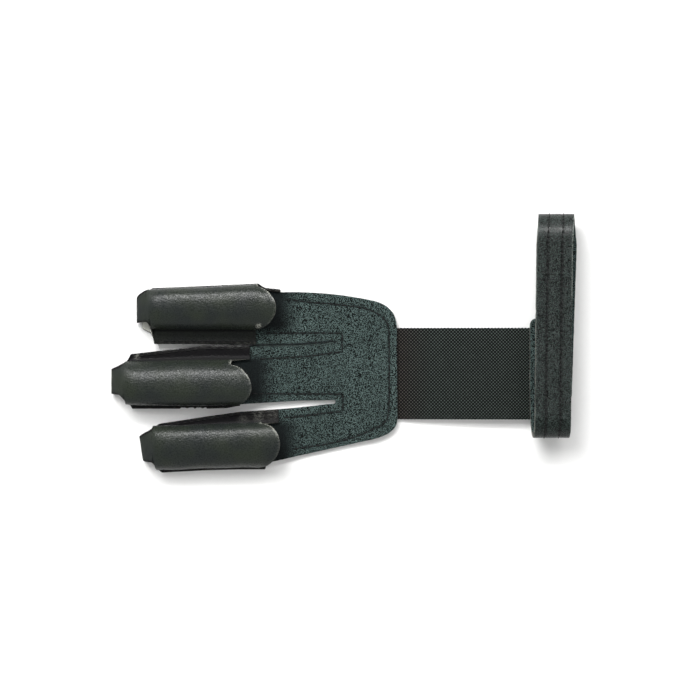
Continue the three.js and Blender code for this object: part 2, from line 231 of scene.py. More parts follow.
def set_inputs(tree, node, inputs):
    """Sets each input to a number or a colour, or links it to a socket or to the first output of a node."""
    for name, value in inputs.items():
        if isinstance(value, bpy.types.Node):
            value = next(socket for socket in value.outputs if socket.enabled)
        if isinstance(value, bpy.types.NodeSocket):
            tree.links.new(value, node.inputs[name])
        else:
            node.inputs[name].default_value = value


def add_node(tree, kind, inputs=None, **settings):
    """Adds a shader node with its settings and inputs."""
    node = tree.nodes.new("ShaderNode" + kind)
    for name, value in settings.items():
        setattr(node, name, value)
    set_inputs(tree, node, inputs or {})
    return node


def start_finish(name, numbers):
    """A new material, its shader with the numbers that are the same all over, and millimetre coordinates."""
    material = bpy.data.materials.new(name)
    material.use_nodes = True
    tree = material.node_tree
    shader = tree.nodes["Principled BSDF"]
    set_inputs(tree, shader, numbers)
    place = add_node(tree, "TexCoord")
    metres = place.outputs["Object"]
    millimetres = add_node(tree, "VectorMath", {0: metres, 1: (1000, 1000, 1000)}, operation="MULTIPLY")
    return material, tree, shader, millimetres


# %% [markdown]
# ## Stall leather
#
# The stalls are full-grain cowhide, dyed through, rolled smooth and lightly waxed. The wax gives a soft
# sheen, and the grain breaks it into small bright specks along each finger. Leather's IOR is about 1.5, but
# this wax is old and thin, so less than half of the usual mirror light is left. Its roughness changes from
# 0.22 to 0.48 with the pores, so the sheen sparkles.
#
# The grain has three sizes: pebbles of 1.1 mm that a little noise bends, pores of 0.65 mm, and grit of
# 0.6 mm. Real pores and grit are 0.1 to 0.3 mm. The dye shifts every 12 mm between a darker and a greener
# black. The mesh carries three numbers for this finish. The first is where use has polished the barrel, and it
# also carries painted shade and light: the seam allowances, the folded tip and the lower half, which the
# barrels shade, are painted near black, and the lower allowance next to the barrel's foot is painted lighter
# against the barrel's shadow. The second is where the dye is scuffed off, and also painted highlight: along
# the upper side of each mouth and on one spot beside the index mouth, where the cut edge catches the light.
# The third, "creased", is where the leather was bent so hard that its wax broke and it turned matt.

# %% Full-grain cowhide, rolled and waxed
stall_grain, tree, shader, mm_place = start_finish(
    "full_grain_cowhide_waxed", {"IOR": 1.5, "Specular IOR Level": 0.22}
)
bend = add_node(tree, "TexNoise", {"Vector": mm_place, "Scale": 0.8, "Detail": 2.0})
bent = add_node(
    tree, "VectorMath", {0: bend.outputs["Color"], 1: (0.9, 0.9, 0.9), 2: mm_place}, operation="MULTIPLY_ADD"
)
pebbles = add_node(tree, "TexVoronoi", {"Vector": bent, "Scale": 1 / 1.1, "Smoothness": 0.6}, feature="SMOOTH_F1")
pores = add_node(tree, "TexNoise", {"Vector": mm_place, "Scale": 1 / 0.65, "Detail": 1.0, "Roughness": 0.5})
dye = add_node(tree, "TexNoise", {"Vector": mm_place, "Scale": 1 / 12, "Detail": 2.0})
dye_share = add_node(tree, "MapRange", {"Value": dye, "From Min": 0.35, "From Max": 0.65})
dyed = add_node(tree, "Mix", {0: dye_share, 6: linear("#1f2322"), 7: linear("#242922")}, data_type="RGBA")
polished = add_node(tree, "Attribute", attribute_name="polish")
# Painted shade: where this number is low, on the seam allowances, the folded tip and the lower half, the dye is
# swapped for near black #0c0b0d.
rubbed_in = add_node(tree, "Mix", {0: polished.outputs["Fac"], 6: linear("#0c0b0d"), 7: dyed}, data_type="RGBA")
worn = add_node(tree, "Attribute", attribute_name="wear")
speck_share = add_node(tree, "MapRange", {"Value": pores, "From Min": 0.42, "From Max": 0.6, "To Min": 0.1})
worn_share = add_node(tree, "Math", {0: worn.outputs["Fac"], 1: speck_share}, operation="MULTIPLY", use_clamp=True)
coloured = add_node(tree, "Mix", {0: worn_share, 6: rubbed_in, 7: linear("#9a9b92")}, data_type="RGBA")
waxed = add_node(
    tree, "MapRange", {"Value": pores, "From Min": 0.35, "From Max": 0.65, "To Min": 0.22, "To Max": 0.48}
)
gloss = add_node(tree, "Mix", {0: polished.outputs["Fac"], 2: 0.28, 3: waxed}, data_type="FLOAT")
creased = add_node(tree, "Attribute", attribute_name="creased")
opened = add_node(tree, "Mix", {0: creased.outputs["Fac"], 2: gloss, 3: 0.9}, data_type="FLOAT")
grit = add_node(tree, "TexVoronoi", {"Vector": mm_place, "Scale": 1 / 0.6})
fine_height = add_node(tree, "Math", {0: grit.outputs["Distance"], 1: -0.5, 2: pores}, operation="MULTIPLY_ADD")
height = add_node(tree, "Math", {0: pebbles.outputs["Distance"], 1: -0.4, 2: fine_height}, operation="MULTIPLY_ADD")
bump = add_node(tree, "Bump", {"Height": height, "Distance": 0.0001, "Strength": 1.0})
set_inputs(tree, shader, {"Base Color": coloured, "Roughness": opened, "Normal": bump})
print("made", stall_grain.name)

# %% [markdown]
# ## Cut edge and flesh side
#
# Where the knife went through, the leather shows its core: a dense felt of fibres, paler than the grain and
# hardly any gloss. The flesh side, inside the stalls, is the same felt, brushed open. The tufts of fibres
# are about 0.3 mm, drawn at 0.5 to 0.6 mm in the colour and in the bump. Both turn pale with the wear
# number: along the rubbed edge of a mouth, where the mouth's upper side is painted paler still as a
# highlight, and beside the index fingertip, where the dye never reached. On the strap the same number paints
# the edges that face the light pale, as a highlight, over their wear.

# %% Cut edge of the leather
cut_edge, tree, shader, mm_place = start_finish("leather_cut_edge", {"IOR": 1.45, "Roughness": 0.85})
fibres = add_node(tree, "TexNoise", {"Vector": mm_place, "Scale": 1 / 0.6, "Detail": 4.0})
fibre_share = add_node(tree, "MapRange", {"Value": fibres, "From Min": 0.35, "From Max": 0.65})
felt = add_node(tree, "Mix", {0: fibre_share, 6: linear("#141512"), 7: linear("#3a3b36")}, data_type="RGBA")
worn = add_node(tree, "Attribute", attribute_name="wear")
worn_share = add_node(tree, "Math", {0: worn.outputs["Fac"], 1: fibre_share}, operation="MULTIPLY", use_clamp=True)
bared = add_node(tree, "Mix", {0: worn_share, 6: felt, 7: linear("#c9c9bf")}, data_type="RGBA")
bump = add_node(tree, "Bump", {"Height": fibres, "Distance": 0.0001, "Strength": 0.8})
set_inputs(tree, shader, {"Base Color": bared, "Normal": bump})
print("made", cut_edge.name)

# %% Flesh side of the leather
flesh_side, tree, shader, mm_place = start_finish("leather_flesh_side", {"IOR": 1.45, "Roughness": 0.95})
fibres = add_node(tree, "TexNoise", {"Vector": mm_place, "Scale": 1 / 0.5, "Detail": 4.0, "Roughness": 0.7})
felt = add_node(tree, "Mix", {0: fibres, 6: linear("#191918"), 7: linear("#3b3833")}, data_type="RGBA")
worn = add_node(tree, "Attribute", attribute_name="wear")
worn_share = add_node(tree, "Math", {0: worn.outputs["Fac"], 1: fibres}, operation="MULTIPLY", use_clamp=True)
undyed = add_node(tree, "Mix", {0: worn_share, 6: felt, 7: linear("#d2d2ca")}, data_type="RGBA")
bump = add_node(tree, "Bump", {"Height": fibres, "Distance": 0.0002, "Strength": 0.8})
set_inputs(tree, shader, {"Base Color": undyed, "Normal": bump})
print("made", flesh_side.name)

# %% [markdown]
# ## Suede
#
# The back is suede: split cowhide, buffed until its fibres stand up as a short nap, and dyed a dark grey
# green. The nap has next to no gloss. Each tuft turns its own way, so its tip is paler or darker at random,
# and the gaps between the tufts are painted shade, nearly black. The tips catch light that grazes them, and a
# trace of the shader's sheen stands for that. The tufts are cells of 0.42 mm, coarser than the real 0.2 mm.
# Noise would also give specks, but it gathers into clouds that suede doesn't have. Slow patches of 20 mm show
# where the nap was brushed.
#
# The mesh carries a number for painted shade, where the nap is painted darker: the shadow behind the mouths
# of the stalls, the crevice of the closed slit, and each row of stitches, where the pressed nap lies in painted
# shade.

# %% Suede split, buffed and dyed
suede_nap, tree, shader, mm_place = start_finish(
    "suede_split_grey_green",
    {"IOR": 1.4, "Specular IOR Level": 0.15, "Roughness": 1.0, "Sheen Weight": 0.05, "Sheen Roughness": 0.5},
)
tufts = add_node(tree, "TexVoronoi", {"Vector": mm_place, "Scale": 1 / 0.42})
tuft_value = add_node(tree, "SeparateColor", {0: tufts.outputs["Color"]})
tuft_tip = add_node(tree, "MapRange", {"Value": tufts.outputs["Distance"], "From Min": 0.55, "From Max": 0.3})
tuft_turn = add_node(tree, "MapRange", {"Value": tuft_value.outputs[0], "To Min": 0.7, "To Max": 1.4})
tuft_share = add_node(tree, "Math", {0: tuft_tip, 1: tuft_turn}, operation="MULTIPLY", use_clamp=True)
brushed = add_node(tree, "TexNoise", {"Vector": mm_place, "Scale": 1 / 20, "Detail": 3.0})
brush_share = add_node(tree, "MapRange", {"Value": brushed, "From Min": 0.3, "From Max": 0.7})
# Painted shade: the gaps between the tufts are nearly black.
dark_nap = add_node(tree, "Mix", {0: brush_share, 6: linear("#030404"), 7: linear("#050707")}, data_type="RGBA")
pale_nap = add_node(tree, "Mix", {0: brush_share, 6: linear("#526360"), 7: linear("#5d6f6c")}, data_type="RGBA")
napped = add_node(tree, "Mix", {0: tuft_share, 6: dark_nap, 7: pale_nap}, data_type="RGBA")
handled = add_node(tree, "Attribute", attribute_name="handled")
# Painted shade: the nap is darkened towards #0c1011 behind the stalls' mouths, along the stitch channels and in the
# closed slit.
soiled = add_node(tree, "Mix", {0: handled.outputs["Fac"], 6: napped, 7: linear("#0c1011")}, data_type="RGBA")
bump = add_node(tree, "Bump", {"Height": tuft_tip, "Distance": 0.0001, "Strength": 0.5})
set_inputs(tree, shader, {"Base Color": soiled, "Normal": bump})
print("made", suede_nap.name)

# %% [markdown]
# ## Woven elastic
#
# The strip is woven elastic, 44 mm wide: covered rubber threads run along it, and polyester yarn crosses
# over and under them, which leaves rows of small knuckles. On such webbing they lie about 1 mm apart. Here
# they are drawn 1.6 mm apart, so that they still show. The knuckles themselves are in the mesh. The finish
# adds the yarn's fine strands and a browner tone near the suede, where the strip is least stretched, and it
# paints light and shade on the knuckles from two cosine waves with the same pitch: pale tops as painted
# highlight and dark holes as painted shade. How strongly that painted light and shade shows changes a little
# every 6 mm. Polyester yarn is matt, so its mirror light is nearly off.

# %% Polyester and rubber webbing
WEAVE_PITCH = 1.6
webbing_weave, tree, shader, mm_place = start_finish(
    "polyester_elastic_webbing", {"IOR": 1.5, "Specular IOR Level": 0.08, "Roughness": 0.75}
)
along = add_node(tree, "SeparateXYZ", {0: mm_place})
turn_x = add_node(tree, "Math", {0: along.outputs["X"], 1: math.tau / WEAVE_PITCH}, operation="MULTIPLY")
turn_y = add_node(tree, "Math", {0: along.outputs["Y"], 1: math.tau / WEAVE_PITCH}, operation="MULTIPLY")
wave_x = add_node(tree, "Math", {0: turn_x}, operation="COSINE")
wave_y = add_node(tree, "Math", {0: turn_y}, operation="COSINE")
knuckle = add_node(tree, "Math", {0: wave_x, 1: wave_y}, operation="MULTIPLY")
strands = add_node(tree, "TexNoise", {"Vector": mm_place, "Scale": 1 / 0.5, "Detail": 3.0})
slack = add_node(tree, "TexNoise", {"Vector": mm_place, "Scale": 1 / 6, "Detail": 3.0})
stand_out = add_node(
    tree, "MapRange", {"Value": slack, "From Min": 0.35, "From Max": 0.65, "To Min": 0.6, "To Max": 1.5}
)
knuckle_share = add_node(
    tree, "MapRange", {"Value": knuckle, "From Min": -1.0, "From Max": 1.0, "To Min": -2.6, "To Max": 1.3}
)
knuckle_shade = add_node(tree, "Math", {0: knuckle_share, 1: stand_out}, operation="MULTIPLY")
speck_share = add_node(tree, "Math", {0: knuckle_shade, 1: strands}, operation="ADD", use_clamp=True)
brown_share = add_node(tree, "MapRange", {"Value": along.outputs["X"], "From Min": 26.0, "From Max": 42.0})
# Painted light and shade: the knuckles' tops are painted pale and the holes between them nearly black.
dark_yarn = add_node(tree, "Mix", {0: brown_share, 6: linear("#040404"), 7: linear("#030404")}, data_type="RGBA")
pale_yarn = add_node(tree, "Mix", {0: brown_share, 6: linear("#3f3b37"), 7: linear("#424a46")}, data_type="RGBA")
woven = add_node(tree, "Mix", {0: speck_share, 6: dark_yarn, 7: pale_yarn}, data_type="RGBA")
bump = add_node(tree, "Bump", {"Height": strands, "Distance": 0.0001, "Strength": 0.6})
set_inputs(tree, shader, {"Base Color": woven, "Normal": bump})
print("made", webbing_weave.name)

# %% [markdown]
# ## Strap leather
#
# The strap's outer ply is corrected-grain leather with a satin finish: sanded, sprayed with pigment and
# pressed with a fine grain. It is more even than the stalls' leather and a little greener. The pressed grain
# is made of cells of 0.44 mm, drawn about twice as coarse as it is. Each cell's top is painted pale as a
# highlight, by an amount of its own, and round it is painted shade. Long noise across the strap gives the
# cross creases of its bends.
#
# The mesh carries a number for painted shade along each row of stitches, deepest at the holes, where the
# thread pulls the leather down into a groove, and one for wear on the edges, where the pigment is off and
# where the edges that face the light are painted paler as a highlight.

# %% Corrected-grain leather with a satin finish
strap_grain, tree, shader, mm_place = start_finish(
    "corrected_grain_leather_satin", {"IOR": 1.5, "Specular IOR Level": 0.2}
)
across = add_node(tree, "VectorMath", {0: mm_place, 1: (0.12, 1.0, 1.0)}, operation="MULTIPLY")
folds = add_node(tree, "TexNoise", {"Vector": across, "Scale": 1 / 1.4, "Detail": 4.0})
patches = add_node(tree, "TexNoise", {"Vector": mm_place, "Scale": 1 / 9, "Detail": 3.0})
patch_share = add_node(tree, "MapRange", {"Value": patches, "From Min": 0.35, "From Max": 0.65})
pigment = add_node(tree, "Mix", {0: patch_share, 6: linear("#040605"), 7: linear("#070a09")}, data_type="RGBA")
pressed_grain = add_node(tree, "TexVoronoi", {"Vector": mm_place, "Scale": 1 / 0.44})
specks = add_node(tree, "SeparateColor", {0: pressed_grain.outputs["Color"]})
pebble = add_node(tree, "MapRange", {"Value": pressed_grain.outputs["Distance"], "From Min": 0.57, "From Max": 0.32})
pebble_shade = add_node(tree, "MapRange", {"Value": specks.outputs[0], "To Min": 0.3, "To Max": 1.3})
speck_share = add_node(tree, "Math", {0: pebble, 1: pebble_shade}, operation="MULTIPLY", use_clamp=True)
# Painted highlight on each grain cell's top, painted shade round it.
speckled = add_node(tree, "Mix", {0: speck_share, 6: pigment, 7: linear("#384440")}, data_type="RGBA")
worn = add_node(tree, "Attribute", attribute_name="wear")
worn_share = add_node(
    tree, "Math", {0: worn.outputs["Fac"], 1: specks.outputs[0]}, operation="MULTIPLY", use_clamp=True
)
drawn_in = add_node(tree, "Attribute", attribute_name="drawn_in")
# Painted shade: along the stitch rows the grain is darkened to near black #020202, deepest at the holes.
sunk = add_node(tree, "Mix", {0: drawn_in.outputs["Fac"], 6: speckled, 7: linear("#020202")}, data_type="RGBA")
edged = add_node(tree, "Mix", {0: worn_share, 6: sunk, 7: linear("#7d857f")}, data_type="RGBA")
gloss = add_node(tree, "MapRange", {"Value": specks.outputs[1], "To Min": 0.22, "To Max": 0.42})
height = add_node(tree, "Math", {0: folds, 1: 1.0, 2: pebble}, operation="MULTIPLY_ADD")
bump = add_node(tree, "Bump", {"Height": height, "Distance": 0.00006, "Strength": 1.0})
set_inputs(tree, shader, {"Base Color": edged, "Roughness": gloss, "Normal": bump})
print("made", strap_grain.name)

# %% [markdown]
# ## Thread, hook-and-loop and paper
#
# The thread is bonded black polyester, twisted and over half a millimetre thick. Its bonding is matt, so each
# stitch reads as a dark dash. Hook-and-loop tape is black nylon: its loops are a dull fuzz. The table is
# white paper with nothing on it.

# %% Bonded polyester thread
thread_finish, tree, shader, mm_place = start_finish(
    "bonded_polyester_thread", {"IOR": 1.5, "Specular IOR Level": 0.2, "Roughness": 0.6}
)
twist = add_node(tree, "TexNoise", {"Vector": mm_place, "Scale": 1 / 0.35, "Detail": 2.0})
thread_colour = add_node(tree, "Mix", {0: twist, 6: linear("#020202"), 7: linear("#0d0f0f")}, data_type="RGBA")
bump = add_node(tree, "Bump", {"Height": twist, "Distance": 0.0001, "Strength": 0.5})
set_inputs(tree, shader, {"Base Color": thread_colour, "Normal": bump})
print("made", thread_finish.name)

# %% Nylon hook-and-loop tape
nylon_tape, tree, shader, mm_place = start_finish("nylon_hook_and_loop_tape", {"IOR": 1.53, "Roughness": 0.7})
fuzz = add_node(tree, "TexNoise", {"Vector": mm_place, "Scale": 1 / 0.5, "Detail": 3.0})
nylon_colour = add_node(tree, "Mix", {0: fuzz, 6: linear("#0b0c0c"), 7: linear("#262827")}, data_type="RGBA")
bump = add_node(tree, "Bump", {"Height": fuzz, "Distance": 0.0002, "Strength": 0.7})
set_inputs(tree, shader, {"Base Color": nylon_colour, "Normal": bump})
print("made", nylon_tape.name)

# %% White paper
paper, tree, shader, mm_place = start_finish("white_paper", {"IOR": 1.45, "Roughness": 0.9})
tooth = add_node(tree, "TexNoise", {"Vector": mm_place, "Scale": 1 / 2.0, "Detail": 2.0})
paper_colour = add_node(tree, "Mix", {0: tooth, 6: linear("#f0f0ef"), 7: linear("#f4f4f3")}, data_type="RGBA")
set_inputs(tree, shader, {"Base Color": paper_colour})
print("made", paper.name)

# %% [markdown]
# ## Finger stalls: the lines
#
# A stall is one piece of leather. Its upper half stands up in a barrel that a fingertip fills, runs out in
# a flat seam allowance on each side, and falls to a nose at the tip. There the leather turns under, and its
# lower half comes back flat under the suede. The corners beside the fold are clipped off, so that the
# layers don't bunch up.
#
# The stalls could be sculpted, but a real one is cut flat and folded, so it is drawn the same way: a table
# of sections along the finger, one barrel profile, and a net of points that runs over the barrel, round
# the fold and back. The barrel bulges a little over its seams on both sides, more on the upper side, as
# leather does that was wetted and pressed over a form.
#
# For each stall, the table holds the fold (x, y, half its width, slant), the mouth (x, depth of its round
# tongue, where the upper and the lower seam allowance end) and the lean of the barrel. The columns of its
# sections are x, upper edge, upper seam, lower seam, lower edge, rise. A corner is the knife's line, point by
# point, because it was cut by hand and no two are alike. On the index stall the lower half was cut
# differently from the upper one, so it has a line of its own. A scuff is x, y, radius and strength; the index
# stall's one beside its mouth is a painted highlight, where the cut edge catches the light.

# %% Sizes of the stalls
COVER_THICKNESS = 1.2
PLY_HEIGHT = 0.6
SEAM_HEIGHT = 3.8

STALLS = {
    "index_stall": {
        "fold": (-99.3, 15.7, 5.7, 0.0),
        "upper_corner": [(-99.0, 20.9), (-98.4, 22.3), (-97.2, 23.5), (-94.6, 24.8), (-91.5, 26.4)],
        "lower_corner": [(-98.6, 10.0), (-96.8, 10.3), (-93.2, 10.4), (-92.3, 9.0), (-91.8, 6.0), (-90.6, -0.8)],
        "ply_corner": [
            (-98.7, 9.9), (-97.9, 8.3), (-96.3, 6.8), (-94.0, 5.6), (-92.2, 4.9), (-91.8, 4.2), (-90.6, -0.8),
        ],
        "lean": 0.5,
        "mouth": (-32.2, 9.5, -30.6, -42.3),
        # Painted highlight: a pale spot where the mouth's cut edge catches the light.
        "scuffs": [(-40.6, 8.8, 1.5, 2.0)],
        "undyed": (-94.4, 7.8, 3.6),
        "sections": [
            (-91.5, 26.5, 24.6, 7.4, -0.2, 9.2),
            (-66.5, 27.5, 25.5, 7.3, -0.2, 9.6),
            (-41.0, 28.7, 26.7, 7.3, -0.3, 10.0),
            (-38.0, 26.7, 25.4, 7.3, -0.3, 10.0),
            (-30.6, 25.8, 24.6, 7.3, -0.3, 10.0),
        ],
    },
    "middle_stall": {
        "fold": (-111.4, -18.1, 5.9, 0.0),
        "upper_corner": [
            (-110.9, -12.2), (-106.9, -10.8), (-104.6, -9.5), (-103.3, -7.5), (-102.1, -5.5), (-101.6, -4.2),
        ],
        "lower_corner": [
            (-110.8, -24.0), (-106.5, -24.2), (-105.4, -25.0), (-104.1, -26.8), (-103.3, -28.7), (-102.0, -29.4),
            (-101.3, -32.0),
        ],
        "lean": -3.4,
        "mouth": (-43.8, 10.5, -45.2, -50.0),
        "scuffs": [(-99.0, -6.2, 2.2, 0.5)],
        "sections": [
            (-101.4, -4.9, -8.9, -27.2, -31.1, 9.2),
            (-66.8, -1.1, -8.4, -27.5, -31.1, 9.6),
            (-56.0, -1.0, -8.4, -27.2, -30.8, 9.8),
            (-43.8, -0.9, -8.5, -26.8, -28.6, 10.0),
        ],
    },
    "ring_stall": {
        "fold": (-97.2, -50.0, 5.5, 0.85),
        "upper_corner": [
            (-97.5, -44.3), (-94.7, -42.6), (-92.1, -41.4), (-91.2, -40.2), (-89.2, -38.8), (-86.8, -37.5),
        ],
        "lower_corner": [
            (-96.5, -55.5), (-94.2, -56.2), (-90.9, -56.2), (-89.8, -57.8), (-89.0, -60.0), (-87.8, -60.9),
            (-86.9, -62.0),
        ],
        "lean": 0.6,
        "mouth": (-30.3, 9.5, -31.3, -37.8),
        "scuffs": [(-34.0, -33.5, 4.5, 0.2), (-41.0, -34.5, 5.0, 0.2), (-48.0, -36.0, 4.0, 0.15)],
        "sections": [
            (-87.0, -38.2, -40.5, -59.7, -61.6, 9.2),
            (-66.0, -34.9, -40.0, -59.0, -60.5, 9.6),
            (-50.0, -32.7, -39.3, -58.6, -60.1, 9.8),
            (-30.3, -31.3, -38.6, -58.2, -60.0, 10.0),
        ],
    },
}
UPPER_EDGE, UPPER_SEAM, LOWER_SEAM, LOWER_EDGE, RISE = 1, 2, 3, 4, 5

UPPER_SIDE = [(1.0, 0.0), (1.04, 0.15), (1.08, 0.36), (1.0, 0.6), (0.76, 0.84), (0.4, 0.965), (0.0, 1.0)]
LOWER_SIDE = [(1.0, 0.0), (1.01, 0.13), (1.01, 0.34), (0.93, 0.6), (0.71, 0.82), (0.37, 0.96)]
BARREL = [Vector(p) for p in UPPER_SIDE] + [Vector((-a, r)) for a, r in reversed(LOWER_SIDE)]
SEAM_SHARE = 0.85
BLANK_HALF = 18
NOSE_LENGTH = 13
FLAT_END = 6
FOLD_RADIUS = 1.6
MOUTH_SKEW = 0.8

# %% A point of the cover
def cover_point(stall, x, share, nose, seam_z):
    """A point of the upper half at x: share runs from 1 at the upper edge to -1 at the lower edge."""
    sections = stall["sections"]
    upper_seam, lower_seam = at(sections, x, UPPER_SEAM), at(sections, x, LOWER_SEAM)
    if abs(share) > SEAM_SHARE:
        seam, edge = (upper_seam, UPPER_EDGE) if share > 0 else (lower_seam, LOWER_EDGE)
        out = (abs(share) - SEAM_SHARE) / (1 - SEAM_SHARE)
        return Vector((x, mix(seam, at(sections, x, edge), out), seam_z))
    across, rise = curve_point(BARREL, (SEAM_SHARE - share) / (2 * SEAM_SHARE))
    rise *= nose
    upright = min(1.0, max(-1.0, across))
    overhang = (across - upright) * nose**2
    y = (upper_seam + lower_seam) / 2 + (upper_seam - lower_seam) / 2 * (upright + overhang)
    return Vector((x, y + stall["lean"] * rise, seam_z + rise * at(sections, x, RISE)))


def mouth_end(stall, share):
    """Where a column of the net ends at the mouth: a round tongue between two square seam allowances."""
    mouth_x, depth, upper_end, lower_end = stall["mouth"]
    if abs(share) >= SEAM_SHARE:
        return upper_end if share > 0 else lower_end
    across = min(1.0, abs(curve_point(BARREL, (SEAM_SHARE - share) / (2 * SEAM_SHARE)).x))
    return mouth_x - depth * (1 - math.sqrt(1 - across**2)) + MOUTH_SKEW * share


# %% The clipped corners
def widest_share(point_at, line, side):
    """How far out a row of the net may run before it meets the knife's line."""
    def is_inside(share):
        point = point_at(side * share)
        return point.x > line[-1].x or side * (at(line, point.x) - point.y) >= 0

    share = 1.0
    while share > 0.1 and not is_inside(share):
        share -= 0.02
    if share == 1.0:
        return share
    low, high = share, share + 0.02
    for _ in range(10):
        middle = (low + high) / 2
        low, high = (middle, high) if is_inside(middle) else (low, middle)
    return low


# %% [markdown]
# ## Finger stalls: the net
#
# The net's rows run across the finger and are closest at the nose and the fold, where the leather bends
# most. Its columns are closest over the barrel. The sharp line where the barrel meets the seam allowance is
# relaxed a few times, because leather turns in a small curve. Then the leather gets its life: slow dents of
# a few tenths of a millimetre that a finger has left, and a wavy, slightly raised mouth. Three functions
# give the numbers at the net's points that the finishes read: wear with painted highlight, polish with
# painted shade and light, and creases.

# %% Rows and columns
FLANGE_COLUMNS = 5
BARREL_COLUMNS = 56
BARREL_ROWS = 74
NOSE_ROWS = 24
FOLD_ROWS = 8
PLY_ROWS = 34

flange_shares = [1 - (1 - SEAM_SHARE) * k / FLANGE_COLUMNS for k in range(FLANGE_COLUMNS)]
barrel_shares = [SEAM_SHARE * (1 - 2 * k / BARREL_COLUMNS) for k in range(BARREL_COLUMNS + 1)]
SHARES = flange_shares + barrel_shares + [-share for share in reversed(flange_shares)]


def cover_rows(stall):
    """The rows of a cover as functions from share to point, from the mouth round the fold to the ply's end."""
    fold_x, fold_y, half, slant = stall["fold"]
    turn_x = fold_x + COVER_THICKNESS / 2
    _, _, upper_end, lower_end = stall["mouth"]

    def drawn_back(share, back):
        return -slant * BLANK_HALF * share / half * max(0.0, 1 - back / NOSE_LENGTH)

    def barrel_row(step):
        def point_at(share):
            x = mix(mouth_end(stall, share), turn_x + NOSE_LENGTH, step / BARREL_ROWS)
            return cover_point(stall, x, share, 1.0, SEAM_HEIGHT)
        return point_at

    def nose_row(back):
        nose = math.sqrt(max(0.0, 1 - (1 - back / NOSE_LENGTH) ** 2))
        seam_z = mix(PLY_HEIGHT + FOLD_RADIUS, SEAM_HEIGHT, smooth(back / FLAT_END))

        def point_at(share):
            point = cover_point(stall, turn_x + back, share, nose, seam_z)
            point.y = mix(fold_y + BLANK_HALF * share, point.y, smooth(back / FLAT_END))
            point.x += drawn_back(share, back)
            return point
        return point_at

    def fold_row(turn):
        back = FOLD_RADIUS * (1 - math.cos(turn))
        z = PLY_HEIGHT + FOLD_RADIUS * (1 - math.sin(turn))
        return lambda share: Vector((turn_x + back + drawn_back(share, back), fold_y + BLANK_HALF * share, z))

    def ply_row(step):
        def point_at(share):
            end = mix(lower_end, upper_end, (share + 1) / 2)
            x = mix(turn_x + FLAT_END, end, step / PLY_ROWS)
            lower, upper = (at(stall["sections"], x, column) for column in (LOWER_EDGE, UPPER_EDGE))
            y = mix(lower, upper, (share + 1) / 2)
            return Vector((x + drawn_back(share, x - turn_x), y, PLY_HEIGHT))
        return point_at

    def between(first, second, share_of_way):
        return lambda share: first(share).lerp(second(share), share_of_way)

    noses = [NOSE_LENGTH * (1 - math.cos(math.pi / 2 * (1 - k / NOSE_ROWS))) for k in range(NOSE_ROWS + 1)]
    turns = [math.pi / 2 * (k + 1) / FOLD_ROWS for k in range(FOLD_ROWS)]
    rows = [barrel_row(step) for step in range(BARREL_ROWS)]
    rows += [nose_row(back) for back in noses]
    rows += [fold_row(turn) for turn in turns]
    rows += [between(fold_row(turns[-1]), ply_row(0), k / 8) for k in range(1, 8)]
    rows += [ply_row(step) for step in range(PLY_ROWS + 1)]
    return rows


# %% The relaxed net
RELAX_ROUNDS = 6


def relaxed_row(row):
    """A row of the net whose sharp turns at both seams are rounded."""
    for _ in range(RELAX_ROUNDS):
        relaxed = [point.copy() for point in row]
        for j in range(1, len(row) - 1):
            near_seam = max(0.0, 1 - abs(abs(SHARES[j]) - SEAM_SHARE) / 0.07)
            middle = (row[j - 1] + row[j + 1]) / 2
            relaxed[j].y = mix(row[j].y, middle.y, 0.6 * near_seam)
            relaxed[j].z = mix(row[j].z, middle.z, 0.6 * near_seam)
        row = relaxed
    return row


def cover_net(stall):
    """The net of a cover's middle surface, clipped at its corners."""
    upper_line = [Vector(point) for point in stall["upper_corner"]]
    lower_line = [Vector(point) for point in stall["lower_corner"]]
    ply_line = [Vector(point) for point in stall.get("ply_corner", stall["lower_corner"])]
    net = []
    for number, point_at in enumerate(cover_rows(stall)):
        past_fold = number > BARREL_ROWS + NOSE_ROWS + FOLD_ROWS
        top = widest_share(point_at, upper_line, 1)
        low = widest_share(point_at, ply_line if past_fold else lower_line, -1)
        net.append(relaxed_row([point_at(share * (top if share > 0 else low)) for share in SHARES]))
    return net


# %% Dents
SLOW_DENT = 0.22
SMALL_DENT = 0.08
MOUTH_RAISE = 0.25
MOUTH_WAVE = 0.3
MOUTH_ROWS = 9


def dented(net, seed):
    """The net with the dents of its barrel and with its mouth a little raised."""
    shift = Vector((seed * 31.7, seed * 12.3, 0))
    result = [[point.copy() for point in row] for row in net]
    for i in range(BARREL_ROWS + NOSE_ROWS):
        strength = 1.0 if i < BARREL_ROWS else max(0.0, 1 - (i - BARREL_ROWS) / (NOSE_ROWS * 0.9))
        mouth = max(0.0, 1 - i / MOUTH_ROWS) ** 2
        for j in range(len(SHARES)):
            on_barrel = smooth((SEAM_SHARE - abs(SHARES[j])) / 0.25) * strength
            if on_barrel <= 0:
                continue
            along = net[i + 1][j] - net[max(i - 1, 0)][j]
            across = net[i][j + 1] - net[i][j - 1]
            outward = along.cross(across).normalized()
            outward *= -1 if outward.z < 0 and abs(SHARES[j]) < 0.5 else 1
            place = net[i][j] + shift
            dent = SLOW_DENT * noise.noise(place * 0.07) + SMALL_DENT * noise.noise(place * 0.2)
            dent += mouth * (MOUTH_RAISE + MOUTH_WAVE * noise.noise(place * 0.35))
            result[i][j] += outward * dent * on_barrel
    return result


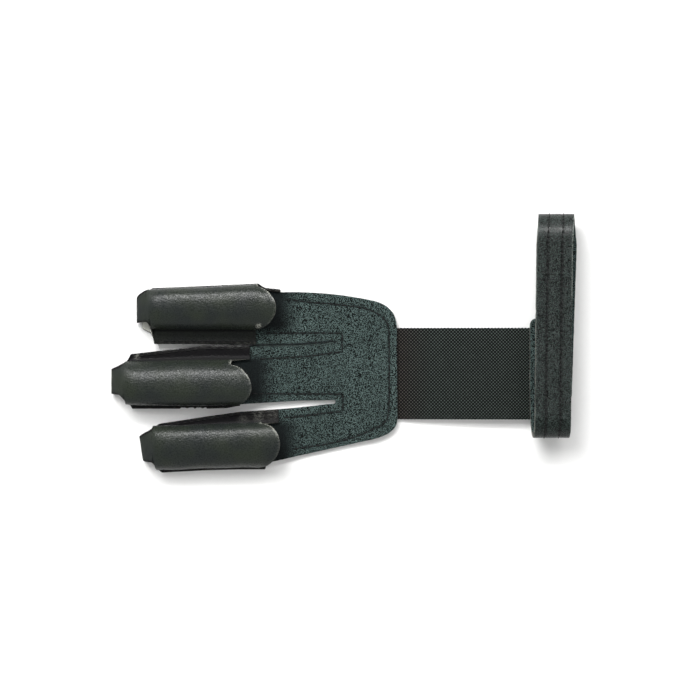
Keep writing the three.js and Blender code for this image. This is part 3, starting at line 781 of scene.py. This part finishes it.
# %% Wear, polish and creases
def cover_wear(net, seed, scuffs, undyed):
    """How worn each point is, with painted highlight added: most along the mouth's upper side, where the cut leather
    catches the light, and on the scuffs, one of which is a painted glint.
    """
    shift = Vector((seed * 17.1, 0, seed * 5.3))
    wear = []
    last = len(SHARES) - 1
    for i, row in enumerate(net):
        at_mouth = max(0.0, 1 - i / 1.6)
        for j, point in enumerate(row):
            blotch = noise.noise((point + shift) * 0.5)
            cut = max(0.0, 1 - min(j, last - j) * 1.2 / 1.6) * (0.04 + 0.1 * blotch)
            # Painted highlight: only the upper side of the mouth is painted pale, where its cut edge faces the light.
            upper_side = smooth((SHARES[j] - 0.08) / 0.15) * smooth((0.86 - SHARES[j]) / 0.06)
            mouth = at_mouth * (0.12 * (abs(SHARES[j]) < SEAM_SHARE) + upper_side * (0.9 + 0.6 * blotch))
            rubbed = 0.0
            if point.z > 3:
                for x, y, radius, strength in scuffs:
                    rubbed += strength * smooth(1 - math.hypot(point.x - x, point.y - y) / radius)
            elif undyed and point.z < 1:
                to_spot = math.hypot(point.x - undyed[0], point.y - undyed[1])
                rubbed = 2.5 * smooth((undyed[2] - to_spot) / 0.8) * (min(j, last - j) > 1)
            wear.append(max(0.0, cut, mouth, rubbed))
    return wear


def cover_polish(net):
    """How polished each point is, which also sets painted shade and light: the barrel is polished and keeps its dye,
    the lower seam allowance next to the foot is painted partly lighter, and the rest is painted near black as shade.
    """
    polish = []
    for i in range(len(net)):
        along = 1.0 if i < BARREL_ROWS + NOSE_ROWS + FOLD_ROWS / 2 else 0.0
        for share in SHARES:
            past_foot = (-share - SEAM_SHARE) / (1 - SEAM_SHARE)
            # Painted light: next to the barrel's foot the lower seam allowance keeps part of the dye's lighter
            # colour, against the barrel's shadow.
            lower_side = 0.7 - 0.6 * past_foot if past_foot > 0 else 0.0
            polish.append(along * max(lower_side, smooth((SEAM_SHARE + 0.02 - abs(share)) / 0.1)))
    return polish


def cover_creases(net):
    """How hard the leather is bent at each point: at the fold of the tip, and along both seams."""
    creases = []
    for i in range(len(net)):
        at_fold = smooth(((i - BARREL_ROWS) / NOSE_ROWS - 0.25) / 0.25)
        for share in SHARES:
            past_seam = abs(share) - SEAM_SHARE
            at_seam = smooth(1.1 - (past_seam / 0.06 if past_seam > 0 else -past_seam / 0.1))
            creases.append(max(at_fold, at_seam))
    return creases


# %% [markdown]
# The lower edge of the middle stall was cut by hand over the stitches, so a stretch of it is scalloped, with
# one small hollow to a stitch. The net's outer points are simply drawn in there. After that the leather gets
# its thickness. The net's length and its width across the barrel are measured on it and printed, beside a
# width of 46 mm, an estimate some millimetres over what the net measures across the barrel. The declared
# width of 46 mm is an estimate, some millimetres over what the net measures across the barrel, which is
# printed beside it.

# %% Make the stalls
SCALLOP_PITCH = 3.6
MIDDLE_SCALLOPS = (-78.5, -66.0, 0.9)
LENGTH_COLUMN = 31


def scallop_edge(net, start, end, depth):
    """Draws in the lower edge of a net between two places, with one hollow to a stitch."""
    for row in net:
        if start < row[-1].x < end:
            hollow = depth * abs(math.sin(math.pi * (row[-1].x - start) / SCALLOP_PITCH))
            for back, share in enumerate((1.0, 0.8, 0.6, 0.4, 0.2), start=1):
                row[-back].y += hollow * share


for seed, (name, stall) in enumerate(STALLS.items(), start=1):
    net = dented(cover_net(stall), seed)
    wear = cover_wear(net, seed, stall["scuffs"], stall.get("undyed"))
    if name == "middle_stall":
        scallop_edge(net, *MIDDLE_SCALLOPS)
    points = [point for row in net for point in row]
    piece = new_piece(name + "_cover", points, net_faces(len(net), len(SHARES)), [stall_grain, cut_edge, flesh_side])
    mark_points(piece, wear=wear, polish=cover_polish(net), creased=cover_creases(net))
    cut_length = sum((b[LENGTH_COLUMN] - a[LENGTH_COLUMN]).length for a, b in zip(net, net[1:])) * MM
    middle_row = net[BARREL_ROWS // 2]
    net_width = sum(math.hypot(b.y - a.y, b.z - a.z) for a, b in zip(middle_row, middle_row[1:]))
    thicken(piece, COVER_THICKNESS, 0.22, rim=1, inner=2)
    settle(piece, name)
    print(name, "is declared 46 mm wide, measures", round(net_width, 1), "mm across and", round(cut_length / MM, 1))

# %% [markdown]
# ## Suede back: the outline
#
# The back is one flat cut with soft corners and two slits between the fingers. Its outline is a list of
# points with curves between some of them, and a slit is a table of x, upper side and lower side. The index
# finger's slit is nearly closed, as in a sheet that was cut and has not spread. A net of rows and columns
# would not follow such an outline, so the inside is filled with points in a triangular pattern, and a
# triangulation joins them and the outline into even triangles. It stops at the outline, slits and all.

# %% Curves of the outline
def quadratic(a, b, c, steps=20):
    return [a.lerp(b, s).lerp(b.lerp(c, s), s) for s in (k / steps for k in range(1, steps + 1))]


def cubic(a, b, c, d, steps=20):
    curve = []
    for s in (k / steps for k in range(1, steps + 1)):
        ab, bc, cd = a.lerp(b, s), b.lerp(c, s), c.lerp(d, s)
        curve.append(ab.lerp(bc, s).lerp(bc.lerp(cd, s), s))
    return curve


INDEX_SLIT = [
    (-66.8, -0.2, -1.5),
    (-48.0, -0.5, -1.05),
    (-42.3, -0.65, -0.78),
    (-22.6, -0.4, -0.52),
    (-4.4, 1.12, 1.02),
]
RING_SLIT = [
    (-66.8, -30.6, -35.8),
    (-45.2, -28.7, -32.7),
    (-29.5, -27.8, -31.2),
    (-20.6, -27.3, -30.4),
    (-4.3, -27.0, -28.6),
]
TAB_START = 10.6


def suede_outline():
    """The outline's points, clockwise from the index finger's tab and through both slits."""
    tabs = {}
    for name, stall in STALLS.items():
        x = stall["fold"][0] + TAB_START
        tabs[name] = (x, at(stall["sections"], x, UPPER_EDGE), at(stall["sections"], x, LOWER_EDGE))

    def point(x, y):
        return Vector((x, y))

    x, upper, lower = tabs["index_stall"]
    line = [point(x, upper - 0.6), point(-42, 26.4), point(-30.2, 24.6)]
    line += quadratic(line[-1], point(-7.3, 25.2), point(14.5, 20.4))
    line += cubic(line[-1], point(21.5, 18.6), point(25.0, 14.5), point(25.2, 7.8))
    line.append(point(25.5, -36.2))
    line += cubic(line[-1], point(25.3, -41.5), point(20.5, -44.0), point(13.8, -45.8))
    line += [point(-35.7, -56.8), point(-50, at(STALLS["ring_stall"]["sections"], -50, LOWER_EDGE) + 0.3)]
    x, upper, lower = tabs["ring_stall"]
    line += [point(x, lower + 0.3), point(x, upper - 0.3)]
    line += [point(row[0], row[2]) for row in RING_SLIT]
    line += [point(row[0], row[1]) for row in reversed(RING_SLIT)]
    x, upper, lower = tabs["middle_stall"]
    line += [point(x, lower + 0.3), point(x, upper - 0.3)]
    line += [point(row[0], row[2]) for row in INDEX_SLIT]
    line += [point(row[0], row[1]) for row in reversed(INDEX_SLIT)]
    x, upper, lower = tabs["index_stall"]
    return line + [point(x, lower + 0.3)]


# %% [markdown]
# ## Stitch lines on the suede
#
# One row of stitches follows the back's edge about 5 mm in, and one runs round each slit. They come before
# the suede, because the thread pulls it down into a shallow channel and puckers it at each hole. The pitch
# is about 3.4 mm, seven to eight stitches to the inch, which is usual for leather.

# %% Stitch lines
STITCH_PITCH = 3.4


def nearest_finder(points):
    """A search tree that finds the nearest of the points and how far it is."""
    finder = kdtree.KDTree(len(points))
    for number, point in enumerate(points):
        finder.insert(point, number)
    finder.balance()
    return finder


edge_marks = [
    (-28.5, 21.4), (-23.6, 20.8), (-16.7, 19.8), (-5.9, 19.0), (1.9, 18.1), (8.8, 17.1), (15.6, 14.6), (20.2, 10.6),
    (21.4, 6.0), (21.5, -10.0), (21.5, -28.8), (20.0, -37.2), (13.7, -41.0), (6.3, -44.2), (-2.0, -46.7),
    (-10.8, -48.6), (-18.7, -49.6), (-24.5, -50.6),
]
index_slit_marks = [
    [(-38.0, 5.0), (-8.6, 5.1), (-1.6, 5.0)],
    [(-0.9, 4.6), (-0.9, -3.7)],
    [(-1.6, -3.9), (-6.0, -4.5), (-15.7, -5.9), (-22.7, -6.4), (-35.4, -7.2), (-40.5, -7.4)],
]
ring_slit_marks = [
    [(-44.5, -24.0), (-24.0, -24.1), (-1.6, -24.2)],
    [(-0.6, -24.4), (-0.6, -32.2)],
    [(-1.4, -32.5), (-8.4, -33.2), (-20.7, -34.9), (-29.0, -35.4)],
]
back_lines = []
for marks in [edge_marks, *index_slit_marks, *ring_slit_marks]:
    marks = [Vector((x, y, 0)) for x, y in marks]
    curve = [curve_point(marks, k / 200) for k in range(201)] if len(marks) > 3 else marks
    back_lines.append(evenly(curve, STITCH_PITCH))
hole_finder = nearest_finder([point for line in back_lines for point in line])
channel_finder = nearest_finder([point for line in back_lines for point in evenly(line, 0.5)])
print("stitches on the back:", sum(len(line) - 1 for line in back_lines))

# %% [markdown]
# ## Suede back: the sheet
#
# The sheet lies on the stalls' lower plies and on the end of the elastic strip, and being stiff it spans the
# palm between them about a millimetre above the table. A table of heights along the glove gives that, and
# noise adds the slight waves of a soft sheet. The channel of each stitch line is pressed in here, deepest
# at the holes. The cut edge is left a little ragged, by a tenth of a millimetre. The size of 87 x 130 mm is
# an estimate, and what the outline measures across and along is worked out at the end.

# %% Height of the suede
SUEDE_THICKNESS = 1.4
SUEDE_DRAPE = [(-108, 2.2), (-29, 2.2), (-18, 1.75), (-5, 1.6), (7, 1.85), (15, 2.4), (19, 2.55), (28, 2.7)]
CHANNEL_DEPTH, CHANNEL_WIDTH = 0.26, 0.85
HOLE_DEPTH, HOLE_WIDTH = 0.22, 0.8


def suede_middle(x, y):
    """The height of the suede's middle, with its slow waves, but without the stitches' channel."""
    drape = sum(at(SUEDE_DRAPE, x + shift) for shift in (-2, -1, 0, 1, 2)) / 5
    free = smooth((x + 29) / 8) * smooth((20 - x) / 8)
    wave = 0.16 * noise.noise(Vector((x, y, 3.0)) * 0.07) + 0.07 * noise.noise(Vector((x, y, 9.0)) * 0.2)
    return max(drape + (wave + 0.06) * free, SUEDE_THICKNESS / 2 + 0.02)


def pressed_in(x, y):
    """How far the thread presses the suede down at a point."""
    place = Vector((x, y, 0))
    channel = CHANNEL_DEPTH * math.exp(-((channel_finder.find(place)[2] / CHANNEL_WIDTH) ** 2))
    hole = HOLE_DEPTH * math.exp(-((hole_finder.find(place)[2] / HOLE_WIDTH) ** 2))
    return channel + hole


# %% Fill the outline and lift it
SUEDE_SPACING = 0.85
ROW_SPACING = SUEDE_SPACING * 0.866
GRID_X, GRID_Y = -104, -63
GRID_LENGTH, GRID_WIDTH = 140, 125
outline_corners = [p.to_3d() for p in suede_outline()]
outline_loop = evenly(outline_corners + outline_corners[:1], 0.6)[:-1]
ragged = [
    Vector((p.x + 0.1 * noise.noise(p * 0.9), p.y + 0.1 * noise.noise(p * 0.9 + Vector((7, 7, 7))), 0))
    for p in outline_loop
]
outline_finder = nearest_finder(ragged)
inner_points = []
for row in range(int(GRID_WIDTH / ROW_SPACING)):
    y = GRID_Y + row * ROW_SPACING
    for step in range(int(GRID_LENGTH / SUEDE_SPACING)):
        x = GRID_X + (step + 0.5 * (row % 2)) * SUEDE_SPACING
        if outline_finder.find((x, y, 0))[2] > 0.55 * SUEDE_SPACING:
            inner_points.append(Vector((x, y, 0)))
flat_points = [p.to_2d() for p in ragged + inner_points]
loop_edges = [(k, (k + 1) % len(ragged)) for k in range(len(ragged))]
filled = delaunay_2d_cdt(flat_points, loop_edges, [], 1, 1e-5)
suede_points, suede_faces = filled[0], filled[2]
used = sorted({k for face in suede_faces for k in face})
new_number = {k: number for number, k in enumerate(used)}
lifted = [(*suede_points[k], suede_middle(*suede_points[k]) - pressed_in(*suede_points[k])) for k in used]
suede_faces = [[new_number[k] for k in face] for face in suede_faces]
suede = new_piece("suede_sheet", lifted, suede_faces, [suede_nap])
print("the suede has", len(ragged), "points in its outline and", len(inner_points), "inside")

# %% Paint shade on the suede and make it thick
MOUTHS = [(-38, 17), (-48, -17), (-36, -48)]


def handled_at(x, y):
    """How much painted shade darkens the nap at a place: behind the mouths, along the stitch channels and beside the
    closed slit.
    """
    to_mouth = min(
        math.hypot(max(0.0, x - mouth_x - 6) / 13, max(0.0, abs(y - mouth_y) - 8) / 6) for mouth_x, mouth_y in MOUTHS
    )
    to_seam = channel_finder.find((x, y, 0))[2]
    slit_end = INDEX_SLIT[-1][0]
    to_slit = math.hypot(y - at(INDEX_SLIT, x), max(0.0, x - slit_end)) if x > -50 else 9.0
    at_seam = 0.9 * math.exp(-((to_seam / 0.6) ** 2))
    at_slit = 0.95 * math.exp(-((to_slit / 0.55) ** 2))
    return max(0.95 * smooth(1 - to_mouth), at_seam, at_slit)


mark_points(suede, handled=[handled_at(x, y) for x, y, _ in lifted])
thicken(suede, SUEDE_THICKNESS - 0.1, 0.3, rim=0)
settle(suede, "suede_back")
suede_x, suede_y = [x for x, _, _ in lifted], [y for _, y, _ in lifted]
suede_size = round(max(suede_y) - min(suede_y), 1), round(max(suede_x) - min(suede_x), 1)

# %% [markdown]
# ## Elastic strip
#
# The strip is a net whose points stand half a knuckle apart. Every second point is raised and the others
# are pressed in, like the squares of a chessboard, which gives the knuckles of the weave in real relief. The
# two long edges are drawn in and out by the same step, for the small teeth that the returning yarn leaves.
# The strip starts near the table, under the suede, and climbs to the strap, which holds its other end up.

# %% Weave the strip
WEAVE_STEP = WEAVE_PITCH / 2
ELASTIC_UPPER, ELASTIC_LOWER = 7.5, -36.2
ELASTIC_START, ELASTIC_END = 17, 96
KNUCKLE = 0.1
ELASTIC_DRAPE = [(17, 0.8), (25, 0.9), (34, 2.2), (50, 3.4), (68, 4.3), (86, 4.6), (96, 4.3)]

strip_rows = round((ELASTIC_END - ELASTIC_START) / WEAVE_STEP) + 1
strip_columns = 2 * round((ELASTIC_UPPER - ELASTIC_LOWER) / WEAVE_STEP / 2) + 1
strip_points = []
for i in range(strip_rows):
    for j in range(strip_columns):
        x, y = ELASTIC_START + i * WEAVE_STEP, mix(ELASTIC_LOWER, ELASTIC_UPPER, j / (strip_columns - 1))
        knuckle = KNUCKLE if (i + j) % 2 else -KNUCKLE
        if j in (0, strip_columns - 1):
            outwards = 1 if j else -1
            y += outwards * (KNUCKLE if i % 2 else -KNUCKLE)
            knuckle = 0.0
        wave = 0.15 * noise.noise(Vector((x, y, 20)) * 0.06) * smooth((x - 26) / 8) * smooth((90 - x) / 8)
        height = sum(at(ELASTIC_DRAPE, x + shift) for shift in (-3, -1.5, 0, 1.5, 3)) / 5
        strip_points.append((x, y, max(height + wave, 0.72) + knuckle))
strip = new_piece("woven_elastic", strip_points, net_faces(strip_rows, strip_columns), [webbing_weave])
thicken(strip, 0.95, 0.15, rim=0)
settle(strip, "elastic_strip")

# %% [markdown]
# ## Wrist strap
#
# The strap is a band of two plies: smooth leather outside and suede inside, sewn together by two rows. It
# starts over the end of the elastic strip, turns up and back over the top, turns down, and ends underneath
# its own start, where the tape holds it. The far turn, at the top of the picture, is free and springs out in
# a longer oval than the near one. A band is a line with a width, so the loop's line is drawn first and each
# ply is a net that follows it at its own distance. The two ends have round corners, and the thread draws
# both plies in.

# %% The loop's line
STRAP_HALF = 8.5
STRAP_CORNER = 3.5
PLY_OFFSET = 0.6
LOOP_STEP = 0.55
STITCH_ROWS = (-3.4, 3.4)
STRAP_PITCH = 2.2
START_Z, TOP_Z, END_Z = 6.4, 18.8, 1.2
NEAR_TURN_Y, FAR_TURN_Y = -34.6, 47.4
NEAR_REACH, FAR_REACH = -8.9, 13.0
TURN_STEPS = 36


def strap_line():
    """The middle of the strap along the loop, from its start to its end."""
    line = [Vector((97.0, 12.2 - back, START_Z)) for back in (0, 0.3, 0.6, 1.2, 2, 3.5, 8, 14, 20, 28, 36)]

    def turn(centre_y, reach, z_from, z_to, xs):
        for step in range(TURN_STEPS + 1):
            share = step / TURN_STEPS
            angle = share * math.pi
            x = mix(xs[0], xs[1], share * 2) if share < 0.5 else mix(xs[1], xs[2], share * 2 - 1)
            z = (z_from + z_to) / 2 + (z_from - z_to) / 2 * math.cos(angle)
            line.append(Vector((x, centre_y + reach * math.sin(angle), z)))

    turn(NEAR_TURN_Y, NEAR_REACH, START_Z, TOP_Z, (97.2, 98.0, 98.1))
    for step in range(1, 12):
        share = step / 12
        sag = -0.45 * math.sin(math.pi * share) + 0.12 * math.sin(3 * math.pi * share)
        line.append(Vector((mix(98.1, 99.0, share), mix(NEAR_TURN_Y, FAR_TURN_Y, share), TOP_Z + sag)))
    turn(FAR_TURN_Y, FAR_REACH, TOP_Z, END_Z, (99.0, 100.8, 102.9))
    for share in (0.2, 0.4, 0.6, 0.8, 1.0):
        line.append(Vector((mix(102.9, 101.5, share), mix(FAR_TURN_Y, 6.0, share), END_Z)))
    for y in (-4, -12, -20, -24.5, -26, -26.8, -27.4, -27.7, -28):
        line.append(Vector((mix(101.5, 100.4, (6 - y) / 34), y, END_Z)))
    return evenly(line, LOOP_STEP)


loop_line = strap_line()
outward_normals = []
for k in range(len(loop_line)):
    along = loop_line[min(k + 1, len(loop_line) - 1)] - loop_line[max(k - 1, 0)]
    outward_normals.append(Vector((1, 0, 0)).cross(along).normalized())
hole_count = round(len(loop_line) * LOOP_STEP / STRAP_PITCH)
hole_places = [3 + round(number * (len(loop_line) - 7) / (hole_count - 1)) for number in range(hole_count)]
print("the strap is", round(sum((b - a).length for a, b in zip(loop_line, loop_line[1:]))), "mm long")

# %% The two plies
STRAP_COLUMNS = 22
PLY_THICKNESS = 1.12


def strap_half(k):
    """Half the strap's width at a place of the line, less where its ends are rounded."""
    from_end = min(k, len(loop_line) - 1 - k) * LOOP_STEP
    short = max(0.0, STRAP_CORNER - from_end)
    return STRAP_HALF - (STRAP_CORNER - math.sqrt(STRAP_CORNER**2 - short**2))


def strap_point(k, side, offset):
    """A point beside the loop's line, by its distance across the strap and out from the middle."""
    return loop_line[k] + Vector((side, 0, 0)) + outward_normals[k] * offset


def make_ply(name, offset, materials):
    """One ply of the strap, at its distance from the loop's line."""
    points, wear, drawn_in = [], [], []
    for k in range(len(loop_line)):
        to_hole = min(abs(k - hole) for hole in hole_places) * LOOP_STEP
        for j in range(STRAP_COLUMNS + 1):
            side = mix(-1, 1, j / STRAP_COLUMNS)
            # Painted highlight: the cut edges are worn pale, and painted paler where they face the light, along the
            # left edge and across the far fold.
            on_far_fold = smooth((loop_line[k].y - 18) / 6) * smooth((loop_line[k].z - 12) / 3)
            bared = (0.45 if side < 0 else 0.25 + 1.0 * on_far_fold) * (0.7 + 0.6 * noise.noise(loop_line[k] * 0.3))
            wear.append(bared if j in (0, STRAP_COLUMNS) else 0.0)
            edge_wave = 0.12 * noise.noise(loop_line[k] * 0.4 + Vector((side * 9, 0, offset)))
            swell = 0.05 * noise.noise(strap_point(k, side * STRAP_HALF, 0) * 0.15)
            to_stitches = min(abs(side * STRAP_HALF - row) for row in STITCH_ROWS)
            near_row = math.exp(-((to_stitches / 0.7) ** 2))
            # Painted shade for the stitch grooves, deepest at each hole.
            drawn_in.append(near_row * (0.4 + 0.6 * math.exp(-((to_hole / 0.6) ** 2))))
            pressed = (0.12 + 0.1 * math.exp(-((to_hole / 0.6) ** 2))) * near_row * (-1 if offset > 0 else 1)
            points.append(
                strap_point(k, side * (strap_half(k) + edge_wave * abs(side) ** 8), offset + swell + pressed)
            )
    ply = new_piece(name, points, net_faces(len(loop_line), STRAP_COLUMNS + 1), materials)
    mark_points(ply, wear=wear, drawn_in=drawn_in)
    thicken(ply, PLY_THICKNESS, 0.2, rim=1)
    settle(ply, "wrist_strap")


make_ply("strap_outer_ply", PLY_OFFSET, [strap_grain, cut_edge])
make_ply("strap_lining_ply", -PLY_OFFSET, [suede_nap, cut_edge])

# %% [markdown]
# ## Hook-and-loop closure
#
# Two narrow tapes hold the strap's ends together: one with hooks, one with loops. Pressed shut, they show
# only as two thin bands with fuzz between them, seen from the side. Each band is a small net with
# thickness, and the fuzz is 1400 short bent fibres, which catch the light as nylon does.

# %% Tapes and fuzz
TAPE = {"x": 100.7, "half": 4.1, "upper": 9.0, "lower": -26.0}
random.seed(7)


def tape_band(name, z):
    rows, columns = 71, 17
    points = []
    for i in range(rows):
        for j in range(columns):
            x = TAPE["x"] + mix(-TAPE["half"], TAPE["half"], j / (columns - 1))
            y = mix(TAPE["lower"], TAPE["upper"], i / (rows - 1))
            points.append((x, y, z + 0.04 * (-1) ** (i + j)))
    band = new_piece(name, points, net_faces(rows, columns), [nylon_tape])
    thicken(band, 0.55, 0.12, rim=0)
    settle(band, "strap_fastener")


tape_band("hook_tape", 3.02)
tape_band("loop_tape", 4.55)

fuzz_points, fuzz_faces = [], []
for _ in range(1400):
    x = TAPE["x"] + random.uniform(-1, 1) * (TAPE["half"] - 0.2)
    y = random.uniform(TAPE["lower"] + 0.2, TAPE["upper"] - 0.2)
    lean_x, lean_y = random.uniform(-0.5, 0.5), random.uniform(-0.5, 0.5)
    first = len(fuzz_points)
    for z, share, width in ((3.2, 0, 0.07), (3.8, 0.7, 0.06), (4.35, 0.3, 0.05)):
        for turn in range(3):
            angle = turn * math.tau / 3
            fuzz_points.append(
                (x + lean_x * share + width * math.cos(angle), y + lean_y * share + width * math.sin(angle), z)
            )
    for ring in (0, 3):
        for turn in range(3):
            a, b = first + ring + turn, first + ring + (turn + 1) % 3
            fuzz_faces.append((a, b, b + 3, a + 3))
fuzz_piece = new_piece("hook_and_loop_fuzz", fuzz_points, fuzz_faces, [nylon_tape])
settle(fuzz_piece, "strap_fastener")

# %% [markdown]
# ## Stitches
#
# A lock stitch shows as a short dash of thread that comes up out of one hole and goes down into the next.
# Each dash is a thin tube that bows up in its middle and sinks at its two ends. All the dashes of a seam are
# one piece. A curve with a bevel could draw them too, but the small tubes let each dash lie on its own
# surface: the suede, the stalls' seam allowances or either face of the strap. Under the strap a dash bows
# out only as far as the table lets it.

# %% One dash of thread
THREAD_RADIUS = 0.29
THREAD_RISE = 0.3
THREAD_SINK = 0.4
TUBE_SIDES = 7
DASH_RINGS = 8


def add_dash(points, faces, start, end, up, rise):
    """Adds a dash of thread from start to end, which both lie on the sheet's surface."""
    along = (end - start).normalized()
    aside = along.cross(up).normalized()
    above = aside.cross(along)
    first = len(points)
    for ring in range(DASH_RINGS):
        share = ring / (DASH_RINGS - 1)
        arch = math.sin(math.pi * share) ** 0.55
        centre = start.lerp(end, share) + above * mix(-THREAD_SINK, rise, arch)
        for side in range(TUBE_SIDES):
            angle = side * math.tau / TUBE_SIDES
            out, up_share = THREAD_RADIUS * math.cos(angle), THREAD_RADIUS * math.sin(angle)
            points.append(centre + aside * out + above * up_share)
    for ring in range(DASH_RINGS - 1):
        for side in range(TUBE_SIDES):
            a = first + ring * TUBE_SIDES + side
            b = first + ring * TUBE_SIDES + (side + 1) % TUBE_SIDES
            faces.append((a, b, b + TUBE_SIDES, a + TUBE_SIDES))
    faces.append(tuple(first + side for side in reversed(range(TUBE_SIDES))))
    last = first + (DASH_RINGS - 1) * TUBE_SIDES
    faces.append(tuple(last + side for side in range(TUBE_SIDES)))


def sew(name, seams):
    """One piece for a seam: dashes between the holes of each line, with the way up at each hole."""
    points, faces = [], []
    for holes in seams:
        for (start, up), (end, _) in zip(holes, holes[1:]):
            gap = (end - start) * 0.06
            jitter = Vector((random.uniform(-0.07, 0.07), random.uniform(-0.07, 0.07), 0))
            lowest = min(start.z, end.z) - THREAD_RADIUS - 0.04
            free_height = lowest / -up.z if up.z < -0.01 else THREAD_RISE
            add_dash(points, faces, start + gap + jitter, end - gap - jitter, up, min(THREAD_RISE, free_height))
    stitches = new_piece(name, points, faces, [thread_finish])
    settle(stitches, None)


# %% Stitches on the suede back
UP = Vector((0, 0, 1))
random.seed(11)
back_seams = []
for line in back_lines:
    holes = []
    for point in line:
        z = suede_middle(point.x, point.y) + SUEDE_THICKNESS / 2 - 0.42
        holes.append((Vector((point.x, point.y, z)), UP))
    back_seams.append(holes)
sew("back_stitches", back_seams)

# %% Stitches on the strap
strap_seams = []
for face, up_sign in ((PLY_OFFSET + 0.4, 1), (-PLY_OFFSET - 0.4, -1)):
    for row in STITCH_ROWS:
        strap_seams.append([(strap_point(k, row, face), outward_normals[k] * up_sign) for k in hole_places])
sew("strap_stitches", strap_seams)

# %% [markdown]
# The stalls are sewn to the suede along their seam allowances. The lines run 1.4 mm inside the cut edge, or
# midway where the allowance is narrow, from just behind the nose to the end of the allowance.

# %% Stitches on the stalls
STALL_PITCH = 3.2
SEAM_INSET = 1.4
stall_seams = []
for name, stall in STALLS.items():
    _, _, upper_end, lower_end = stall["mouth"]
    start = stall["fold"][0] + 13
    for side, end, seam, edge in ((1, upper_end, UPPER_SEAM, UPPER_EDGE), (-1, lower_end, LOWER_SEAM, LOWER_EDGE)):
        line = []
        count = round((end - 2 - start) / STALL_PITCH)
        for number in range(count + 1):
            x = mix(start, end - 2, number / count)
            edge_y, seam_y = at(stall["sections"], x, edge), at(stall["sections"], x, seam)
            inset = min(SEAM_INSET, abs(edge_y - seam_y) * 0.5)
            line.append((Vector((x, edge_y - side * inset, SEAM_HEIGHT + COVER_THICKNESS / 2 - 0.12)), UP))
        stall_seams.append(line)
sew("stall_stitches", stall_seams)

# %% [markdown]
# ## Table and light
#
# The glove lies on white paper, under the lamps of a small studio. Each lamp is a rectangular softbox that
# faces the glove. A long one behind the fingers, at about 45 degrees, draws the band of sheen along the
# upper side of each barrel and across the strap's far fold. A strip in the same place shines in reflections
# alone, so the band can be bright while the leather stays dark. A square one at the upper left throws the
# short soft shadow to the lower right, and another overhead lights the shadows a little. These two are left
# out of reflections, so that the surfaces that face straight up keep their deep tone.
#
# The room is bright in front, where the lower sides of the barrels mirror it, darker behind, and darkest
# overhead, as under a high ceiling.

# %% Table
FLOOR_HALF = 1500
FLOOR_Z = -0.05
corners = [(FLOOR_HALF * x, FLOOR_HALF * y, FLOOR_Z) for x, y in ((-1, -1), (1, -1), (1, 1), (-1, 1))]
floor = new_piece("white_table", corners, [(0, 1, 2, 3)], [paper])
print("the table is", 2 * FLOOR_HALF * MM, "metres wide")

# %% Lamps
def add_lamp(name, direction, distance, width, height, power, **visible):
    """A rectangular softbox that faces the glove from a direction; visible says what it is left out of."""
    lamp = bpy.data.lights.new(name, "AREA")
    lamp.shape = "RECTANGLE"
    lamp.size, lamp.size_y = width, height
    lamp.energy = power
    holder = bpy.data.objects.new(name, lamp)
    place = Vector(direction).normalized() * distance
    holder.location = place
    holder.rotation_euler = place.to_track_quat("Z", "Y").to_euler()
    for rays, is_seen in visible.items():
        setattr(holder, rays, is_seen)
    bpy.context.scene.collection.objects.link(holder)


BEHIND = (0.0, 0.85, 0.9)
add_lamp("softbox", BEHIND, 1.2, 1.5, 0.22, 11)
add_lamp("sheen_strip", BEHIND, 1.19, 1.5, 0.24, 24, visible_diffuse=False)
add_lamp("upper_left_diffuser", (-0.39, 0.54, 0.82), 1.3, 0.7, 0.7, 15, visible_glossy=False)
add_lamp("ceiling_diffuser", (0.0, -0.15, 1.0), 1.3, 0.9, 0.9, 3.6, visible_glossy=False)

# %% Room
world = bpy.data.worlds.new("studio_room")
bpy.context.scene.world = world
world.use_nodes = True
room = world.node_tree
sky = room.nodes["Background"]
direction = add_node(room, "TexCoord")
upward = add_node(room, "SeparateXYZ", {0: direction.outputs["Generated"]})
ceiling = add_node(
    room, "MapRange", {"Value": upward.outputs["Z"], "From Min": 0.4, "From Max": 0.92, "To Min": 0.5, "To Max": 0.14}
)
towards_front = add_node(
    room, "VectorMath", {0: direction.outputs["Generated"], 1: (0.5, -0.85, 0.0)}, operation="DOT_PRODUCT"
)
front_wall = add_node(
    room,
    "MapRange",
    {"Value": towards_front.outputs["Value"], "From Min": -0.8, "From Max": 0.9, "To Min": 0.4, "To Max": 1.8},
)
wall_light = add_node(room, "Math", {0: ceiling, 1: front_wall}, operation="MULTIPLY")
set_inputs(room, sky, {"Color": (1, 1, 1, 1), "Strength": wall_light})

settings = bpy.context.scene.view_settings
settings.view_transform = "Standard"
settings.look = "None"
settings.exposure = 0.0
